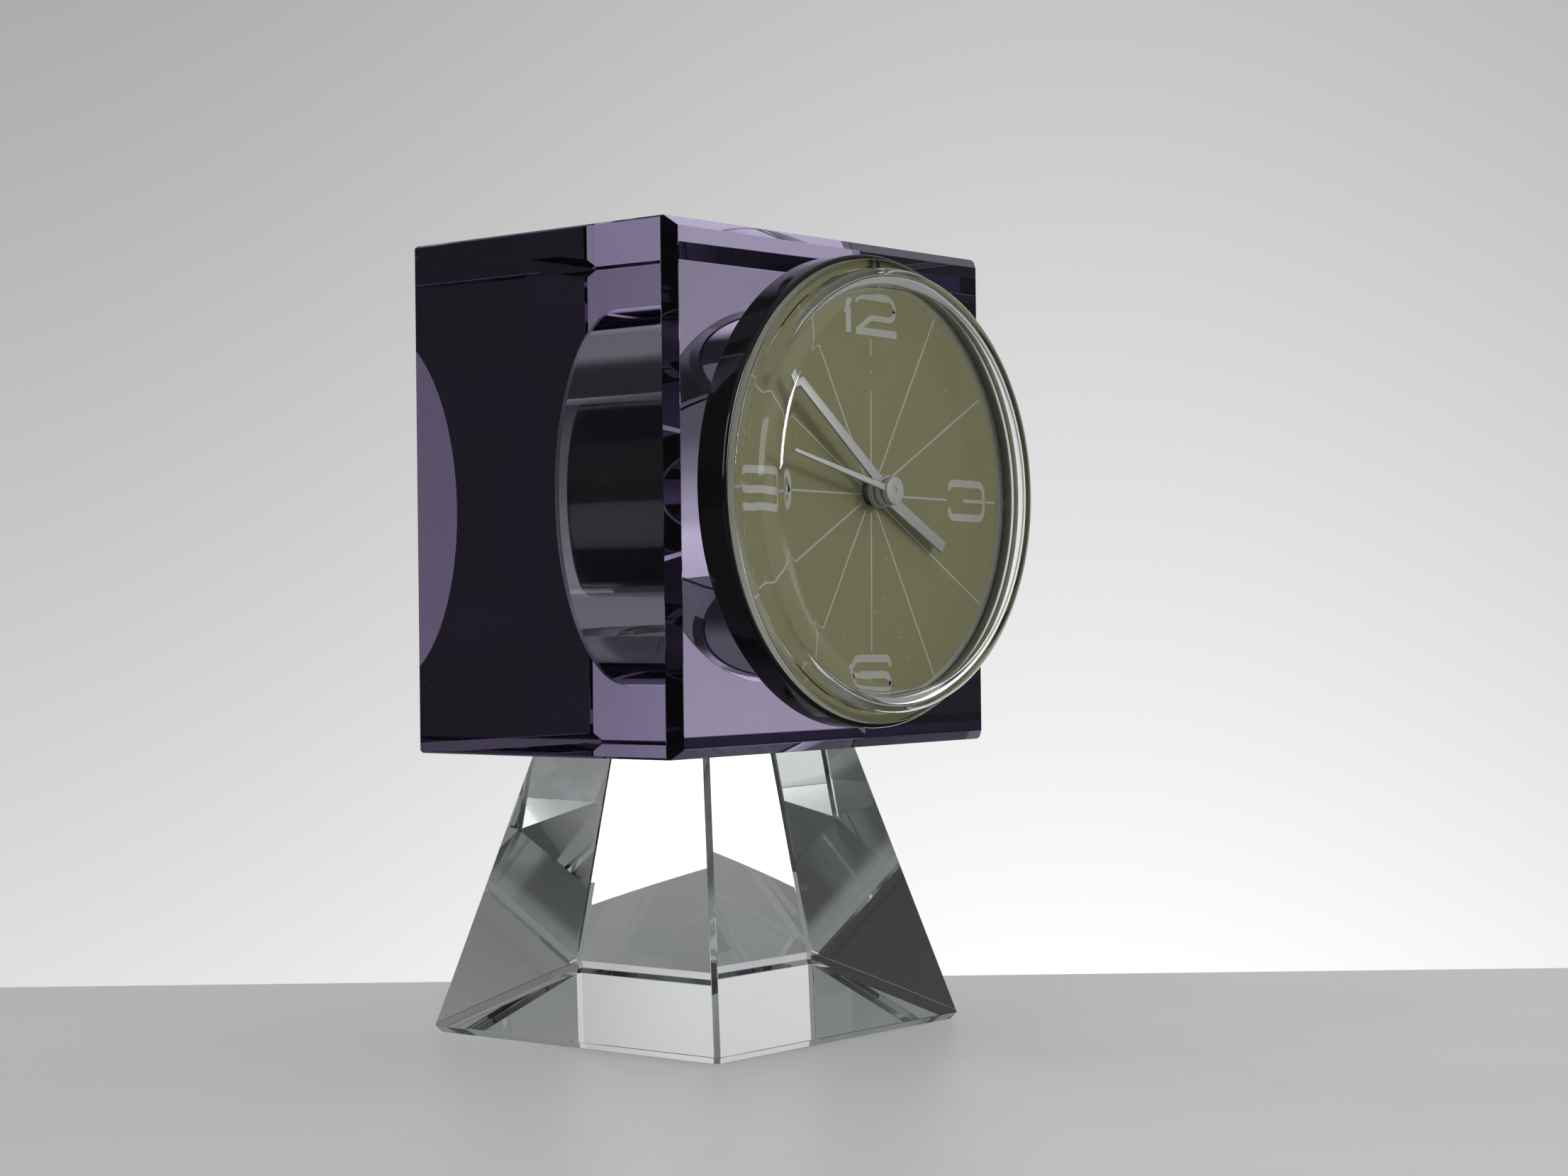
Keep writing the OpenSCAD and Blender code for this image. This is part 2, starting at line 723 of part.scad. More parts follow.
module stator() {
    color([0.6, 0.6, 0.62]) clock_axis() motor_axes() {
        translate([0, 0, stator_z]) linear_extrude(stator_t) difference() {
            union() {
                square([stator_plate, stator_span], center = true);
                for (s = [-1, 1]) translate([stator_plate / 2 - 1, s * (stator_span - leg_w) / 2 - leg_w / 2])
                    square([leg_end - stator_plate / 2 + 1, leg_w]);
            }
            circle(r = stator_hole_r);
        }
        translate([coil_u, 0, stator_z + stator_t / 2]) rotate([90, 0, 0])
            translate([0, 0, -(stator_span - leg_w) / 2]) cylinder(r = core_r, h = stator_span - leg_w);
    }
}

// The coil's own axis, along the core between the stator's legs
module coil_axis() {
    motor_axes() translate([coil_u, 0, stator_z + stator_t / 2]) rotate([90, 0, 0]) children();
}

module bobbin() {
    tube_r = core_r + fit_gap + bobbin_wall;
    color([0.92, 0.92, 0.88]) clock_axis() coil_axis() difference() {
        union() {
            bar(tube_r, -coil_l / 2, coil_l / 2);
            bar(winding_r, -coil_l / 2, -coil_l / 2 + cheek_t);
            bar(winding_r, coil_l / 2 - cheek_t, coil_l / 2);
        }
        bar(core_r + fit_gap, -coil_l, coil_l);
    }
}

module coil() {
    half = coil_l / 2 - cheek_t;
    color([0.7, 0.35, 0.15]) clock_axis() coil_axis() difference() {
        bar(winding_r - cheek_lip, -half, half);
        bar(core_r + fit_gap + bobbin_wall, -coil_l, coil_l);
    }
}

module front_plate() {
    top_z = front_plate_z + plate_t;
    color([0.15, 0.15, 0.15]) clock_axis() difference() {
        union() {
            bar(plate_r, front_plate_z, top_z);
            difference() {
                bar(plate_r, top_z - eps, shelf_z);
                bar(plate_r - plate_rim, top_z - 1, shelf_z + 1);
            }
            translate([minute_at[0], minute_at[1], 0]) bar(post_r, top_z - eps, hour_wheel_z + motion_t);
            for (a = pillar_turns) rotate(a) translate([pillar_reach, 0, 0])
                bar(pillar_r, back_plate_z + plate_t, front_plate_z + eps);
        }
        bar(cannon_r + run_gap, front_plate_z - 1, top_z + 1);
        translate([set_at[0], set_at[1], 0]) bar(shaft_r + run_gap, front_plate_z - 1, top_z + 1);
        for (p = [third_at, middle_at, rotor_at]) translate([p[0], p[1], 0])
            bar(arbor_r + run_gap, front_plate_z - 1, pivot_front + 0.1);
        for (a = pillar_turns) rotate(a) translate([pillar_reach, 0, 0])
            bar(screw_r, back_plate_z, back_plate_z + plate_t + thread_depth + 0.5);
    }
}

module back_plate() {
    color([0.15, 0.15, 0.15]) clock_axis() difference() {
        bar(ledge_r - 0.1, back_plate_z, back_plate_z + plate_t);
        for (p = [[0, 0], third_at, middle_at, rotor_at]) translate([p[0], p[1], 0])
            bar(arbor_r + run_gap, pivot_back - 0.1, back_plate_z + plate_t + 1);
        translate([set_at[0], set_at[1], 0])
            bar(shaft_r + run_gap, back_plate_z - 1, back_plate_z + plate_t + 1);
        for (a = pillar_turns) rotate(a) translate([pillar_reach, 0, 0])
            bar(screw_r + 0.1, back_plate_z - 1, back_plate_z + plate_t + 1);
    }
}

module plate_screws() {
    color([0.75, 0.75, 0.76]) clock_axis() for (a = pillar_turns)
        rotate(a) translate([pillar_reach, 0, back_plate_z]) difference() {
            union() {
                bar(screw_head_r, -screw_head_t, 0);
                bar(screw_r - fit_gap, -eps, plate_t + thread_depth);
            }
            translate([-screw_head_r, -slot_w / 2, -screw_head_t - 1])
                cube([2 * screw_head_r, slot_w, 1 + slot_deep]);
        }
}

// Places on the board, from its lower left corner
module on_board(across, up) {
    translate([board_at[0] + across, board_at[1] + up, board_z + board_t]) children();
}

module circuit_board() {
    color([0.1, 0.35, 0.2]) clock_axis()
        on_board(0, 0) translate([0, 0, -board_t]) cube([board_size[0], board_size[1], board_t]);
}

module drive_chip() {
    color([0.08, 0.08, 0.08]) clock_axis()
        on_board(chip_inset, (board_size[1] - chip_size) / 2) cube([chip_size, chip_size, chip_t]);
}

module quartz_can() {
    color([0.78, 0.78, 0.8]) clock_axis() on_board(board_size[0] / 2, board_size[1] / 2)
        translate([0, 0, quartz_r]) rotate([0, 90, 0]) cylinder(r = quartz_r, h = quartz_l);
}

module set_knob() {
    flutes = 16;
    flute_r = 0.5;
    head_z = -can_depth + knob_sunk;
    color([0.2, 0.2, 0.21]) clock_axis() translate([set_at[0], set_at[1], 0]) {
        difference() {
            bar(knob_r, head_z, head_z + knob_t);
            for (i = [0 : flutes - 1]) rotate(i * 360 / flutes) translate([knob_r, 0, 0])
                bar(flute_r, head_z - 1, head_z + knob_t + 1);
        }
        bar(shaft_r, head_z + knob_t - eps, motion_z + motion_t + 0.2);
    }
}

module set_pinion() {
    color([0.8, 0.66, 0.36]) clock_axis() translate([set_at[0], set_at[1], motion_z])
        gear(set_teeth, motion_m, motion_t, shaft_r, set_pinion_turn);
}

module battery_cell() {
    color([0.45, 0.46, 0.48]) clock_axis()
        translate([-(cell_l + nub_l) / 2, bay_y, cell_z]) rotate([0, 90, 0]) {
            cylinder(r = cell_r, h = cell_l);
            translate([0, 0, cell_l - eps]) cylinder(r = nub_r, h = nub_l + eps);
        }
}

// Bowed strip of sheet metal at one end of the bay
module contact(turn) {
    back = bay_w / 2;
    front = back - contact_t;
    color([0.8, 0.78, 0.7]) clock_axis()
        translate([0, bay_y - contact_w / 2, cell_z]) rotate([-90, 0, 0])
            linear_extrude(contact_w) rotate(turn)
                polygon([[back, -contact_h / 2], [back, contact_h / 2],
                         [front, contact_h / 2], [front, contact_bow_h / 2],
                         [front - contact_bow, contact_tip_h / 2], [front - contact_bow, -contact_tip_h / 2],
                         [front, -contact_bow_h / 2], [front, -contact_h / 2]]);
}

module contact_plus() {
    contact(0);
}

module contact_minus() {
    contact(180);
}

glass_pedestal();
cement_film();
glass_block();
bezel_ring();
case_can();
rear_cover();
cover_screws();
grip_ring();
dial();
crystal();
hour_hand();
minute_hand();
second_hand();
hour_wheel();
cannon_pinion();
minute_wheel();
centre_wheel();
third_wheel();
seconds_arbor();
intermediate_wheel();
rotor();
stator();
bobbin();
coil();
front_plate();
back_plate();
plate_screws();
circuit_board();
drive_chip();
quartz_can();
set_knob();
set_pinion();
battery_cell();
contact_plus();
contact_minus();
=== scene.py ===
"""Looks of a glass pedestal clock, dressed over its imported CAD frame.

The clock is a round battery insert in a violet glass block that stands on a clear glass foot.
Sizes are in millimetres and become metres where a mesh is placed. The insert has an axis of
its own: x to the right, y up the dial and z out of the block's front face.
"""

import logging
import math
from contextlib import contextmanager
from dataclasses import dataclass
from enum import Enum
from itertools import product
from typing import Iterator, Optional, Sequence

import bpy
from mathutils import Matrix, Vector


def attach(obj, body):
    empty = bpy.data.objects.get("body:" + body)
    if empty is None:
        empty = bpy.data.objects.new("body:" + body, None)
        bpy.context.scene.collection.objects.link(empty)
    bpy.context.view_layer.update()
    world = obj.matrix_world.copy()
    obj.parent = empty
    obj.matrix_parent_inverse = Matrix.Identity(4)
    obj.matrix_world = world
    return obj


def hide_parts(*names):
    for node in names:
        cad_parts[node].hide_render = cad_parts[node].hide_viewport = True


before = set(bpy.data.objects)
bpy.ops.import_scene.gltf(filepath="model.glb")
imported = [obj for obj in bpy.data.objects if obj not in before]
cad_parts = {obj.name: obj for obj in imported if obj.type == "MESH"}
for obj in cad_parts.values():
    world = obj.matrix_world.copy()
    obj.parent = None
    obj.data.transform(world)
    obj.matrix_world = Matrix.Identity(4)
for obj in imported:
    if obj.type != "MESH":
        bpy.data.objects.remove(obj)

LOG = logging.getLogger("pedestal_clock")
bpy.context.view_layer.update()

Piece = bpy.types.Object
Material = bpy.types.Material
Tree = bpy.types.NodeTree
Node = bpy.types.Node
Socket = bpy.types.NodeSocket
Point = tuple[float, float]
Triple = tuple[float, float, float]
Rgb = Triple

MM = 0.001
MERGE = 0.0005 * MM  # Vertices of a finished piece that are closer than this become one.
SPIN_MERGE = 0.001 * MM  # The same after a profile is spun.
ROUND_STEPS = 256  # Steps round a large turned piece.
HUB_STEPS = 96  # Steps round the hub of a hand.
OVERSHOOT = 1.0  # How far a cutting tool stands out of what it cuts.
HAIR = 0.06  # Width of the bevel that breaks a sharp edge.
GROUND = 10.0  # Smoothing angle of ground glass, in degrees.
TURNED = 25.0  # Smoothing angle of turned and printed pieces, in degrees.
WHITE = (1.0, 1.0, 1.0, 1.0)


# Places and bench work


@dataclass(frozen=True)
class InsertAxis:
    """The insert's axis in the clock: y of the block's front face and height above the table."""

    front: float = -34.2
    height: float = 96.15

    def at(self, x: float, y: float, z: float) -> Vector:
        """Return the point (x, y, z) of the insert in metres."""
        return Vector((x, self.front - z, self.height + y)) * MM


AXIS = InsertAxis()


class Fuse(Enum):
    """How one closed mesh is worked into another."""

    ADD = "UNION"
    CUT = "DIFFERENCE"


def deselect() -> None:
    """Leave edit mode and deselect everything."""
    if bpy.context.object and bpy.context.object.mode != "OBJECT":
        bpy.ops.object.mode_set(mode="OBJECT")
    bpy.ops.object.select_all(action="DESELECT")


def hold(piece: Piece) -> None:
    """Make one piece the only selected and active one."""
    deselect()
    piece.select_set(True)
    bpy.context.view_layer.objects.active = piece


@contextmanager
def editing(piece: Piece) -> Iterator[None]:
    """Open a piece in edit mode with everything selected, and close it after the work."""
    hold(piece)
    bpy.ops.object.mode_set(mode="EDIT")
    bpy.ops.mesh.select_all(action="SELECT")
    yield
    bpy.ops.object.mode_set(mode="OBJECT")


def settle(piece: Piece, name: str, smooth_deg: float) -> Piece:
    """Put a piece's place in its mesh, close it and shade it.

    Args:
        piece: The mesh object to finish.
        name: Name that the piece keeps.
        smooth_deg: Faces that meet under this angle are shaded as one surface.

    Returns:
        The same object.
    """
    hold(piece)
    bpy.ops.object.transform_apply(location=True, rotation=True, scale=True)
    with editing(piece):
        bpy.ops.mesh.remove_doubles(threshold=MERGE)
        bpy.ops.mesh.normals_make_consistent(inside=False)
    bpy.ops.object.shade_smooth_by_angle(angle=math.radians(smooth_deg))
    piece.name = piece.data.name = name
    return piece


def apply_modifier(piece: Piece, kind: str, **settings: object) -> None:
    """Add one modifier, set it and apply it.

    Args:
        piece: The object to work on.
        kind: Blender's modifier type.
        **settings: Values set on the modifier before it is applied.
    """
    hold(piece)
    modifier = piece.modifiers.new(kind.title(), kind)
    for key, value in settings.items():
        setattr(modifier, key, value)
    bpy.ops.object.modifier_apply(modifier=modifier.name)


def work_in(piece: Piece, tool: Piece, fuse: Fuse) -> None:
    """Add a closed tool mesh to a piece, or cut it away, and drop the tool."""
    apply_modifier(piece, "BOOLEAN", object=tool, operation=fuse.value, solver="EXACT")
    bpy.data.objects.remove(tool)


def soften_edges(piece: Piece, width: float, segments: int = 1, angle: float = 20.0) -> None:
    """Break every sharp edge of a piece with a narrow bevel of a width in millimetres."""
    apply_modifier(
        piece, "BEVEL", width=width * MM, segments=segments, limit_method="ANGLE",
        angle_limit=math.radians(angle), use_clamp_overlap=True,
    )


def box(low: Sequence[float], high: Sequence[float]) -> Piece:
    """Add a box in the clock's frame.

    Args:
        low: Lowest corner, in millimetres.
        high: Highest corner.

    Returns:
        The new object, with its place in its mesh.
    """
    deselect()
    middle = (Vector(low) + Vector(high)) / 2 * MM
    size = (Vector(high) - Vector(low)) * MM
    bpy.ops.mesh.primitive_cube_add(size=1, location=middle, scale=size)
    bpy.ops.object.transform_apply(location=True, rotation=True, scale=True)
    return bpy.context.object


def insert_box(low: Sequence[float], high: Sequence[float]) -> Piece:
    """Add a box between two corners given on the insert's own axis."""
    a, b = AXIS.at(*low) / MM, AXIS.at(*high) / MM
    return box([min(p, q) for p, q in zip(a, b)], [max(p, q) for p, q in zip(a, b)])


def pare(piece: Piece, point: Sequence[float], normal: Sequence[float]) -> None:
    """Cut off what lies beyond a plane and close the cut.

    Args:
        piece: The object to cut.
        point: A point of the plane, in millimetres.
        normal: Direction of the side that is cut away.
    """
    with editing(piece):
        bpy.ops.mesh.bisect(
            plane_co=Vector(point) * MM, plane_no=Vector(normal).normalized(),
            use_fill=True, clear_outer=True,
        )


def draw_in(piece: Piece, above: float, ratio: Triple, centre: Vector) -> None:
    """Scale the upper end of a piece about a centre.

    Args:
        piece: The object to taper.
        above: Height above which a vertex moves, in metres.
        ratio: Scale in each direction.
        centre: Fixed point of the scaling, in metres.
    """
    hold(piece)
    for parts in (piece.data.vertices, piece.data.edges, piece.data.polygons):
        for part in parts:
            part.select = False
    for vertex in piece.data.vertices:
        vertex.select = vertex.co.z > above
    bpy.ops.object.mode_set(mode="EDIT")
    bpy.ops.transform.resize(value=ratio, center_override=centre)
    bpy.ops.object.mode_set(mode="OBJECT")


def arc(centre: Point, radius: float, start: float, end: float, steps: int = 8) -> list[Point]:
    """Return points of an arc in a profile, with its angles in degrees."""
    span = [math.radians(start + (end - start) * i / steps) for i in range(steps + 1)]
    return [(centre[0] + radius * math.cos(a), centre[1] + radius * math.sin(a)) for a in span]


def turn_profile(profile: Sequence[Point], closed: bool = True, steps: int = ROUND_STEPS) -> Piece:
    """Spin a profile of (radius, height) points about the insert's axis.

    Args:
        profile: Points in millimetres, drawn by extruding one vertex along them.
        closed: True joins the last point to the first. A profile that starts and ends on
            the axis is left open.
        steps: Number of steps round the axis.

    Returns:
        The turned object.
    """
    deselect()
    points = [AXIS.at(r, 0, z) for r, z in profile]
    bpy.ops.mesh.primitive_plane_add(size=MM, location=points[0])
    piece = bpy.context.object
    bpy.ops.object.transform_apply(location=True, rotation=True, scale=True)
    with editing(piece):
        bpy.ops.mesh.select_mode(type="VERT")
        bpy.ops.mesh.merge(type="CENTER")
        for before, after in zip(points, points[1:]):
            bpy.ops.mesh.extrude_region_move(TRANSFORM_OT_translate={"value": after - before})
        if closed:
            bpy.ops.mesh.select_all(action="DESELECT")
            bpy.ops.object.mode_set(mode="OBJECT")
            for index in (0, len(piece.data.vertices) - 1):
                piece.data.vertices[index].select = True
            bpy.ops.object.mode_set(mode="EDIT")
            bpy.ops.mesh.edge_face_add()
        bpy.ops.mesh.select_all(action="SELECT")
        bpy.ops.mesh.spin(
            steps=steps, angle=2 * math.pi, use_auto_merge=True, center=AXIS.at(0, 0, 0),
            axis=(0, 1, 0),
        )
        bpy.ops.mesh.select_all(action="SELECT")
        bpy.ops.mesh.remove_doubles(threshold=SPIN_MERGE)
        bpy.ops.mesh.normals_make_consistent(inside=False)
    return piece


def rounded_path(corners: Sequence[Triple], steps: int = 7, leg: float = 0.98) -> list[Point]:
    """Return a line through corners, each rounded by its own radius.

    Args:
        corners: (x, y, radius) of each corner, in millimetres.
        steps: Segments of each rounded corner.
        leg: Largest share of a leg that a rounding takes up.

    Returns:
        The points of the line.
    """
    line: list[Point] = [corners[0][:2]]
    for (ax, ay, _), (bx, by, radius), (cx, cy, _) in zip(corners, corners[1:], corners[2:]):
        here, back, on = Vector((bx, by)), Vector((ax - bx, ay - by)), Vector((cx - bx, cy - by))
        if radius <= 0:
            line.append((bx, by))
            continue
        reach = min(radius / math.tan(back.angle(on) / 2), back.length * leg, on.length * leg)
        start, end = here + back.normalized() * reach, here + on.normalized() * reach
        for i in range(steps + 1):
            t = i / steps
            spot = start * (1 - t) ** 2 + here * 2 * t * (1 - t) + end * t ** 2
            line.append((spot.x, spot.y))
    line.append(corners[-1][:2])
    return line


def ribbon(path: Sequence[Point], nib: Point, height: float, thickness: float) -> Piece:
    """Lay a flat band along a line on the dial, as a broad nib would draw it.

    Args:
        path: Points of the line, on the insert's axis.
        nib: Half widths of the nib across an upright and across a level stroke.
        height: Level of the band's underside above the block's front face.
        thickness: Thickness of the band.

    Returns:
        The band as a closed mesh.
    """
    deselect()
    count = len(path)
    bpy.ops.mesh.primitive_grid_add(x_subdivisions=count - 1, y_subdivisions=1, size=MM)
    piece = bpy.context.object
    for i, (x, y) in enumerate(path):
        before, after = path[max(i - 1, 0)], path[min(i + 1, count - 1)]
        along = Vector((after[0] - before[0], after[1] - before[1])).normalized()
        across = Vector((-along.y, along.x))
        reach = math.hypot(nib[0] * across.x, nib[1] * across.y)
        side = Vector((nib[0] ** 2 * across.x, nib[1] ** 2 * across.y)) / reach
        for row, sign in ((0, -1), (1, 1)):
            place = AXIS.at(x + sign * side.x, y + sign * side.y, height)
            piece.data.vertices[row * count + i].co = place
    with editing(piece):
        lift = {"value": (0, -thickness * MM, 0)}
        bpy.ops.mesh.extrude_region_move(TRANSFORM_OT_translate=lift)
        bpy.ops.mesh.select_all(action="SELECT")
        bpy.ops.mesh.normals_make_consistent(inside=False)
    return piece


def join(parts: Sequence[Piece]) -> Piece:
    """Join several objects into the first one and return it."""
    hold(parts[0])
    for part in parts:
        part.select_set(True)
    bpy.ops.object.join()
    return parts[0]


def swing(piece: Piece, clockwise: float) -> None:
    """Turn a piece about the insert's axis by degrees clockwise, as seen on the dial."""
    pivot = Matrix.Translation(AXIS.at(0, 0, 0))
    turn = Matrix.Rotation(math.radians(clockwise), 4, "Y")
    piece.data.transform(pivot @ turn @ pivot.inverted())


# Shader work


@dataclass(frozen=True)
class Step:
    """A smooth change of a result, from start to end of a value."""

    start: float
    end: float
    before: float = 0.0
    after: float = 1.0


class NodeBench:
    """Short ways to add and wire the nodes of one tree."""

    def __init__(self, tree: Tree) -> None:
        """Keep the tree that nodes are added to."""
        self.tree = tree

    def add(self, kind: str, inputs: dict, **settings: object) -> Node:
        """Add a node.

        Args:
            kind: Node class name after "ShaderNode".
            inputs: Socket name or number to a value or to an output socket.
            **settings: Properties of the node.

        Returns:
            The new node.
        """
        node = self.tree.nodes.new("ShaderNode" + kind)
        for key, value in settings.items():
            setattr(node, key, value)
        self.feed(node, inputs)
        return node

    def feed(self, node: Node, inputs: dict) -> None:
        """Plug a value or an output socket into each named input of a node."""
        for socket, value in inputs.items():
            self.plug(value, node.inputs[socket])

    def plug(self, value: object, socket: Socket) -> None:
        """Link an output socket to an input, or set a plain value on it."""
        if isinstance(value, Socket):
            self.tree.links.new(value, socket)
        else:
            socket.default_value = value

    def sum(self, operation: str, *values: object, clamp: bool = False) -> Socket:
        """Return the output of a Math node over one to three values."""
        node = self.add("Math", dict(enumerate(values)), operation=operation, use_clamp=clamp)
        return node.outputs[0]

    def times(self, first: object, second: object) -> Socket:
        """Return the product of two numbers."""
        return self.sum("MULTIPLY", first, second)

    def vector(self, operation: str, *values: object) -> Socket:
        """Return what a Vector Math node gives: a number for a length or a dot product."""
        node = self.add("VectorMath", dict(enumerate(values)), operation=operation)
        return node.outputs["Value" if operation in ("LENGTH", "DOT_PRODUCT") else "Vector"]

    def parts(self, value: object) -> bpy.types.bpy_prop_collection:
        """Return the sockets X, Y and Z of a vector."""
        return self.add("SeparateXYZ", {0: value}).outputs

    def ramp(self, value: object, step: Step) -> Socket:
        """Return a value taken through a smooth step."""
        ends = {"From Min": step.start, "From Max": step.end,
                "To Min": step.before, "To Max": step.after}
        node = self.add("MapRange", {"Value": value, **ends},
                        interpolation_type="SMOOTHSTEP", clamp=True)
        return node.outputs["Result"]

    def within(self, value: object, low: float, high: float) -> Socket:
        """Return 1 between two millimetre values, and 0 outside them."""
        off = self.sum("ABSOLUTE", self.sum("SUBTRACT", value, (low + high) / 2 * MM))
        return self.sum("LESS_THAN", off, (high - low) / 2 * MM)

    def blend(self, factor: object, first: object, second: object) -> Socket:
        """Return a colour between two colours."""
        return self.add("Mix", {0: factor, 6: first, 7: second}, data_type="RGBA").outputs[2]

    def between(self, factor: object, first: object, second: object) -> Socket:
        """Return a number between two numbers."""
        return self.add("Mix", {0: factor, 2: first, 3: second}, data_type="FLOAT").outputs[0]

    def noise(self, place: object, scale: object, detail: float, rough: float = 0.5) -> Socket:
        """Return a soft noise value."""
        inputs = {"Vector": place, "Scale": scale, "Detail": detail, "Roughness": rough}
        return self.add("TexNoise", inputs).outputs[0]

    def bump(self, shader: Node, height: Socket, strength: float, depth: float) -> None:
        """Give a shader a bump of a depth in millimetres."""
        node = self.add("Bump", {"Height": height, "Strength": strength, "Distance": depth * MM})
        self.plug(node.outputs[0], shader.inputs["Normal"])

    def object_place(self) -> Socket:
        """Return the Object coordinates, in metres of the clock's frame."""
        return self.add("TexCoord", {}).outputs["Object"]


def rgba(colour: Rgb) -> tuple[float, float, float, float]:
    """Return a colour with full alpha."""
    return (*colour, 1.0)


def group_of(name: str, numbers: dict[str, float], results: Sequence[str]) -> tuple:
    """Start a shader node group that takes a place and some numbers, and gives numbers.

    Args:
        name: Name of the group.
        numbers: Name of each number that it takes, to its default.
        results: Name of each number that it gives.

    Returns:
        The group's bench, the sockets with what it takes, and the sockets for what it gives.
    """
    tree = bpy.data.node_groups.new(name, "ShaderNodeTree")
    tree.interface.new_socket("Vector", in_out="INPUT", socket_type="NodeSocketVector")
    for label, default in numbers.items():
        socket = tree.interface.new_socket(label, in_out="INPUT", socket_type="NodeSocketFloat")
        socket.default_value = default
    for label in results:
        tree.interface.new_socket(label, in_out="OUTPUT", socket_type="NodeSocketFloat")
    start, end = tree.nodes.new("NodeGroupInput"), tree.nodes.new("NodeGroupOutput")
    return NodeBench(tree), start.outputs, end.inputs


def grain_group() -> Tree:
    """Build the fine surface grain: a height and a soft patch mask."""
    scales = {"Grain Scale": 4000.0, "Patch Scale": 60.0}
    bench, taken, given = group_of("surface_grain", scales, ("Height", "Patches"))
    fine = bench.noise(taken["Vector"], taken["Grain Scale"], 3.0, 0.6)
    broad = bench.noise(taken["Vector"], taken["Patch Scale"], 4.0, 0.55)
    bench.plug(fine, given["Height"])
    bench.plug(bench.ramp(broad, Step(0.35, 0.65)), given["Patches"])
    return bench.tree


def scuff_group() -> Tree:
    """Build hairline scuffs that run in two directions, as a mask."""
    bench, taken, given = group_of("hairline_scuffs", {"Scale": 90.0, "Amount": 0.5}, ("Mask",))
    masks = []
    for turn, stretch in (((0.3, 0.9, 0.2), (1, 40, 34)), ((1.1, -0.5, 0.7), (36, 1, 42))):
        inputs = {"Vector": taken["Vector"], "Rotation": turn, "Scale": stretch}
        line = bench.noise(bench.add("Mapping", inputs).outputs[0], taken["Scale"], 2.0)
        masks.append(bench.ramp(line, Step(0.68, 0.74)))
    both = bench.sum("MAXIMUM", *masks)
    bench.plug(bench.sum("MULTIPLY", both, taken["Amount"], clamp=True), given["Mask"])
    return bench.tree


def dust_group() -> Tree:
    """Build sparse specks of dust as a mask."""
    bench, taken, given = group_of("dust_specks", {"Scale": 420.0, "Size": 0.06}, ("Mask",))
    cells = bench.add("TexVoronoi", {"Vector": taken["Vector"], "Scale": taken["Scale"]})
    area = bench.ramp(bench.noise(taken["Vector"], 55.0, 2.0), Step(0.5, 0.62))
    near = bench.sum("LESS_THAN", cells.outputs["Distance"], taken["Size"])
    bench.plug(bench.times(near, area), given["Mask"])
    return bench.tree


GRAIN = grain_group()
SCUFFS = scuff_group()
DUST = dust_group()


@dataclass(frozen=True)
class Finish:
    """What every finish has: the name of its material."""

    name: str

    def start(self) -> tuple[Material, NodeBench, Node]:
        """Start the material and return it with its bench and its Principled BSDF."""
        material = bpy.data.materials.new(self.name)
        material.use_nodes = True
        nodes = material.node_tree.nodes
        return material, NodeBench(material.node_tree), nodes["Principled BSDF"]


@dataclass(frozen=True)
class SolidFinish(Finish):
    """A finish that light does not pass.

    It has soft patches of a tint and an added roughness, a fine grain and hairline scuffs.
    Scales are per metre and the grain's depth, the bump, is in millimetres.
    """

    colour: Rgb
    tint: Rgb
    rough: float
    rough_patch: float = 0.05
    metal: float = 0.0
    gloss: float = 0.5
    grain_scale: float = 4000.0
    patch_scale: float = 60.0
    bump: float = 0.01
    bump_strength: float = 0.6
    scuffs: float = 0.0
    scuff_rough: float = 0.25

    def material(self) -> Material:
        """Build the material."""
        material, bench, shader = self.start()
        place = bench.object_place()
        scales = {"Grain Scale": self.grain_scale, "Patch Scale": self.patch_scale}
        grain = bench.add("Group", {"Vector": place, **scales}, node_tree=GRAIN).outputs
        marks = bench.add("Group", {"Vector": place, "Amount": self.scuffs}, node_tree=SCUFFS)
        rough = bench.sum("MULTIPLY_ADD", grain["Patches"], self.rough_patch, self.rough)
        scuffed = bench.sum("MULTIPLY_ADD", marks.outputs[0], self.scuff_rough, rough, clamp=True)
        bench.feed(shader, {
            "Base Color": bench.blend(grain["Patches"], rgba(self.colour), rgba(self.tint)),
            "Roughness": scuffed, "Metallic": self.metal, "Specular IOR Level": self.gloss,
        })
        bench.bump(shader, grain["Height"], self.bump_strength, self.bump)
        return material


@dataclass(frozen=True)
class SatinZone:
    """A ring round the insert's axis where clear material has a satin surface.

    It lies between two distances from the axis and two heights above the block's front face,
    in millimetres. The tint is the colour of the light that passes there, and a dark tint
    paints shade into the clear material.
    """

    inner: float
    outer: float
    back: float
    front: float
    rough: float
    tint: Rgb

    def mask(self, bench: NodeBench, place: Socket) -> Socket:
        """Build a mask of the zone.

        Args:
            bench: Bench of the material's nodes.
            place: Object coordinates.

        Returns:
            A socket with 1 inside the zone and 0 outside it.
        """
        from_axis = bench.vector("SUBTRACT", place, AXIS.at(0, 0, 0))
        distance = bench.vector("LENGTH", bench.vector("MULTIPLY", from_axis, (1, 0, 1)))
        height = bench.times(bench.parts(from_axis)["Y"], -1.0)
        ring = bench.within(distance, self.inner, self.outer)
        return bench.times(ring, bench.within(height, self.back, self.front))


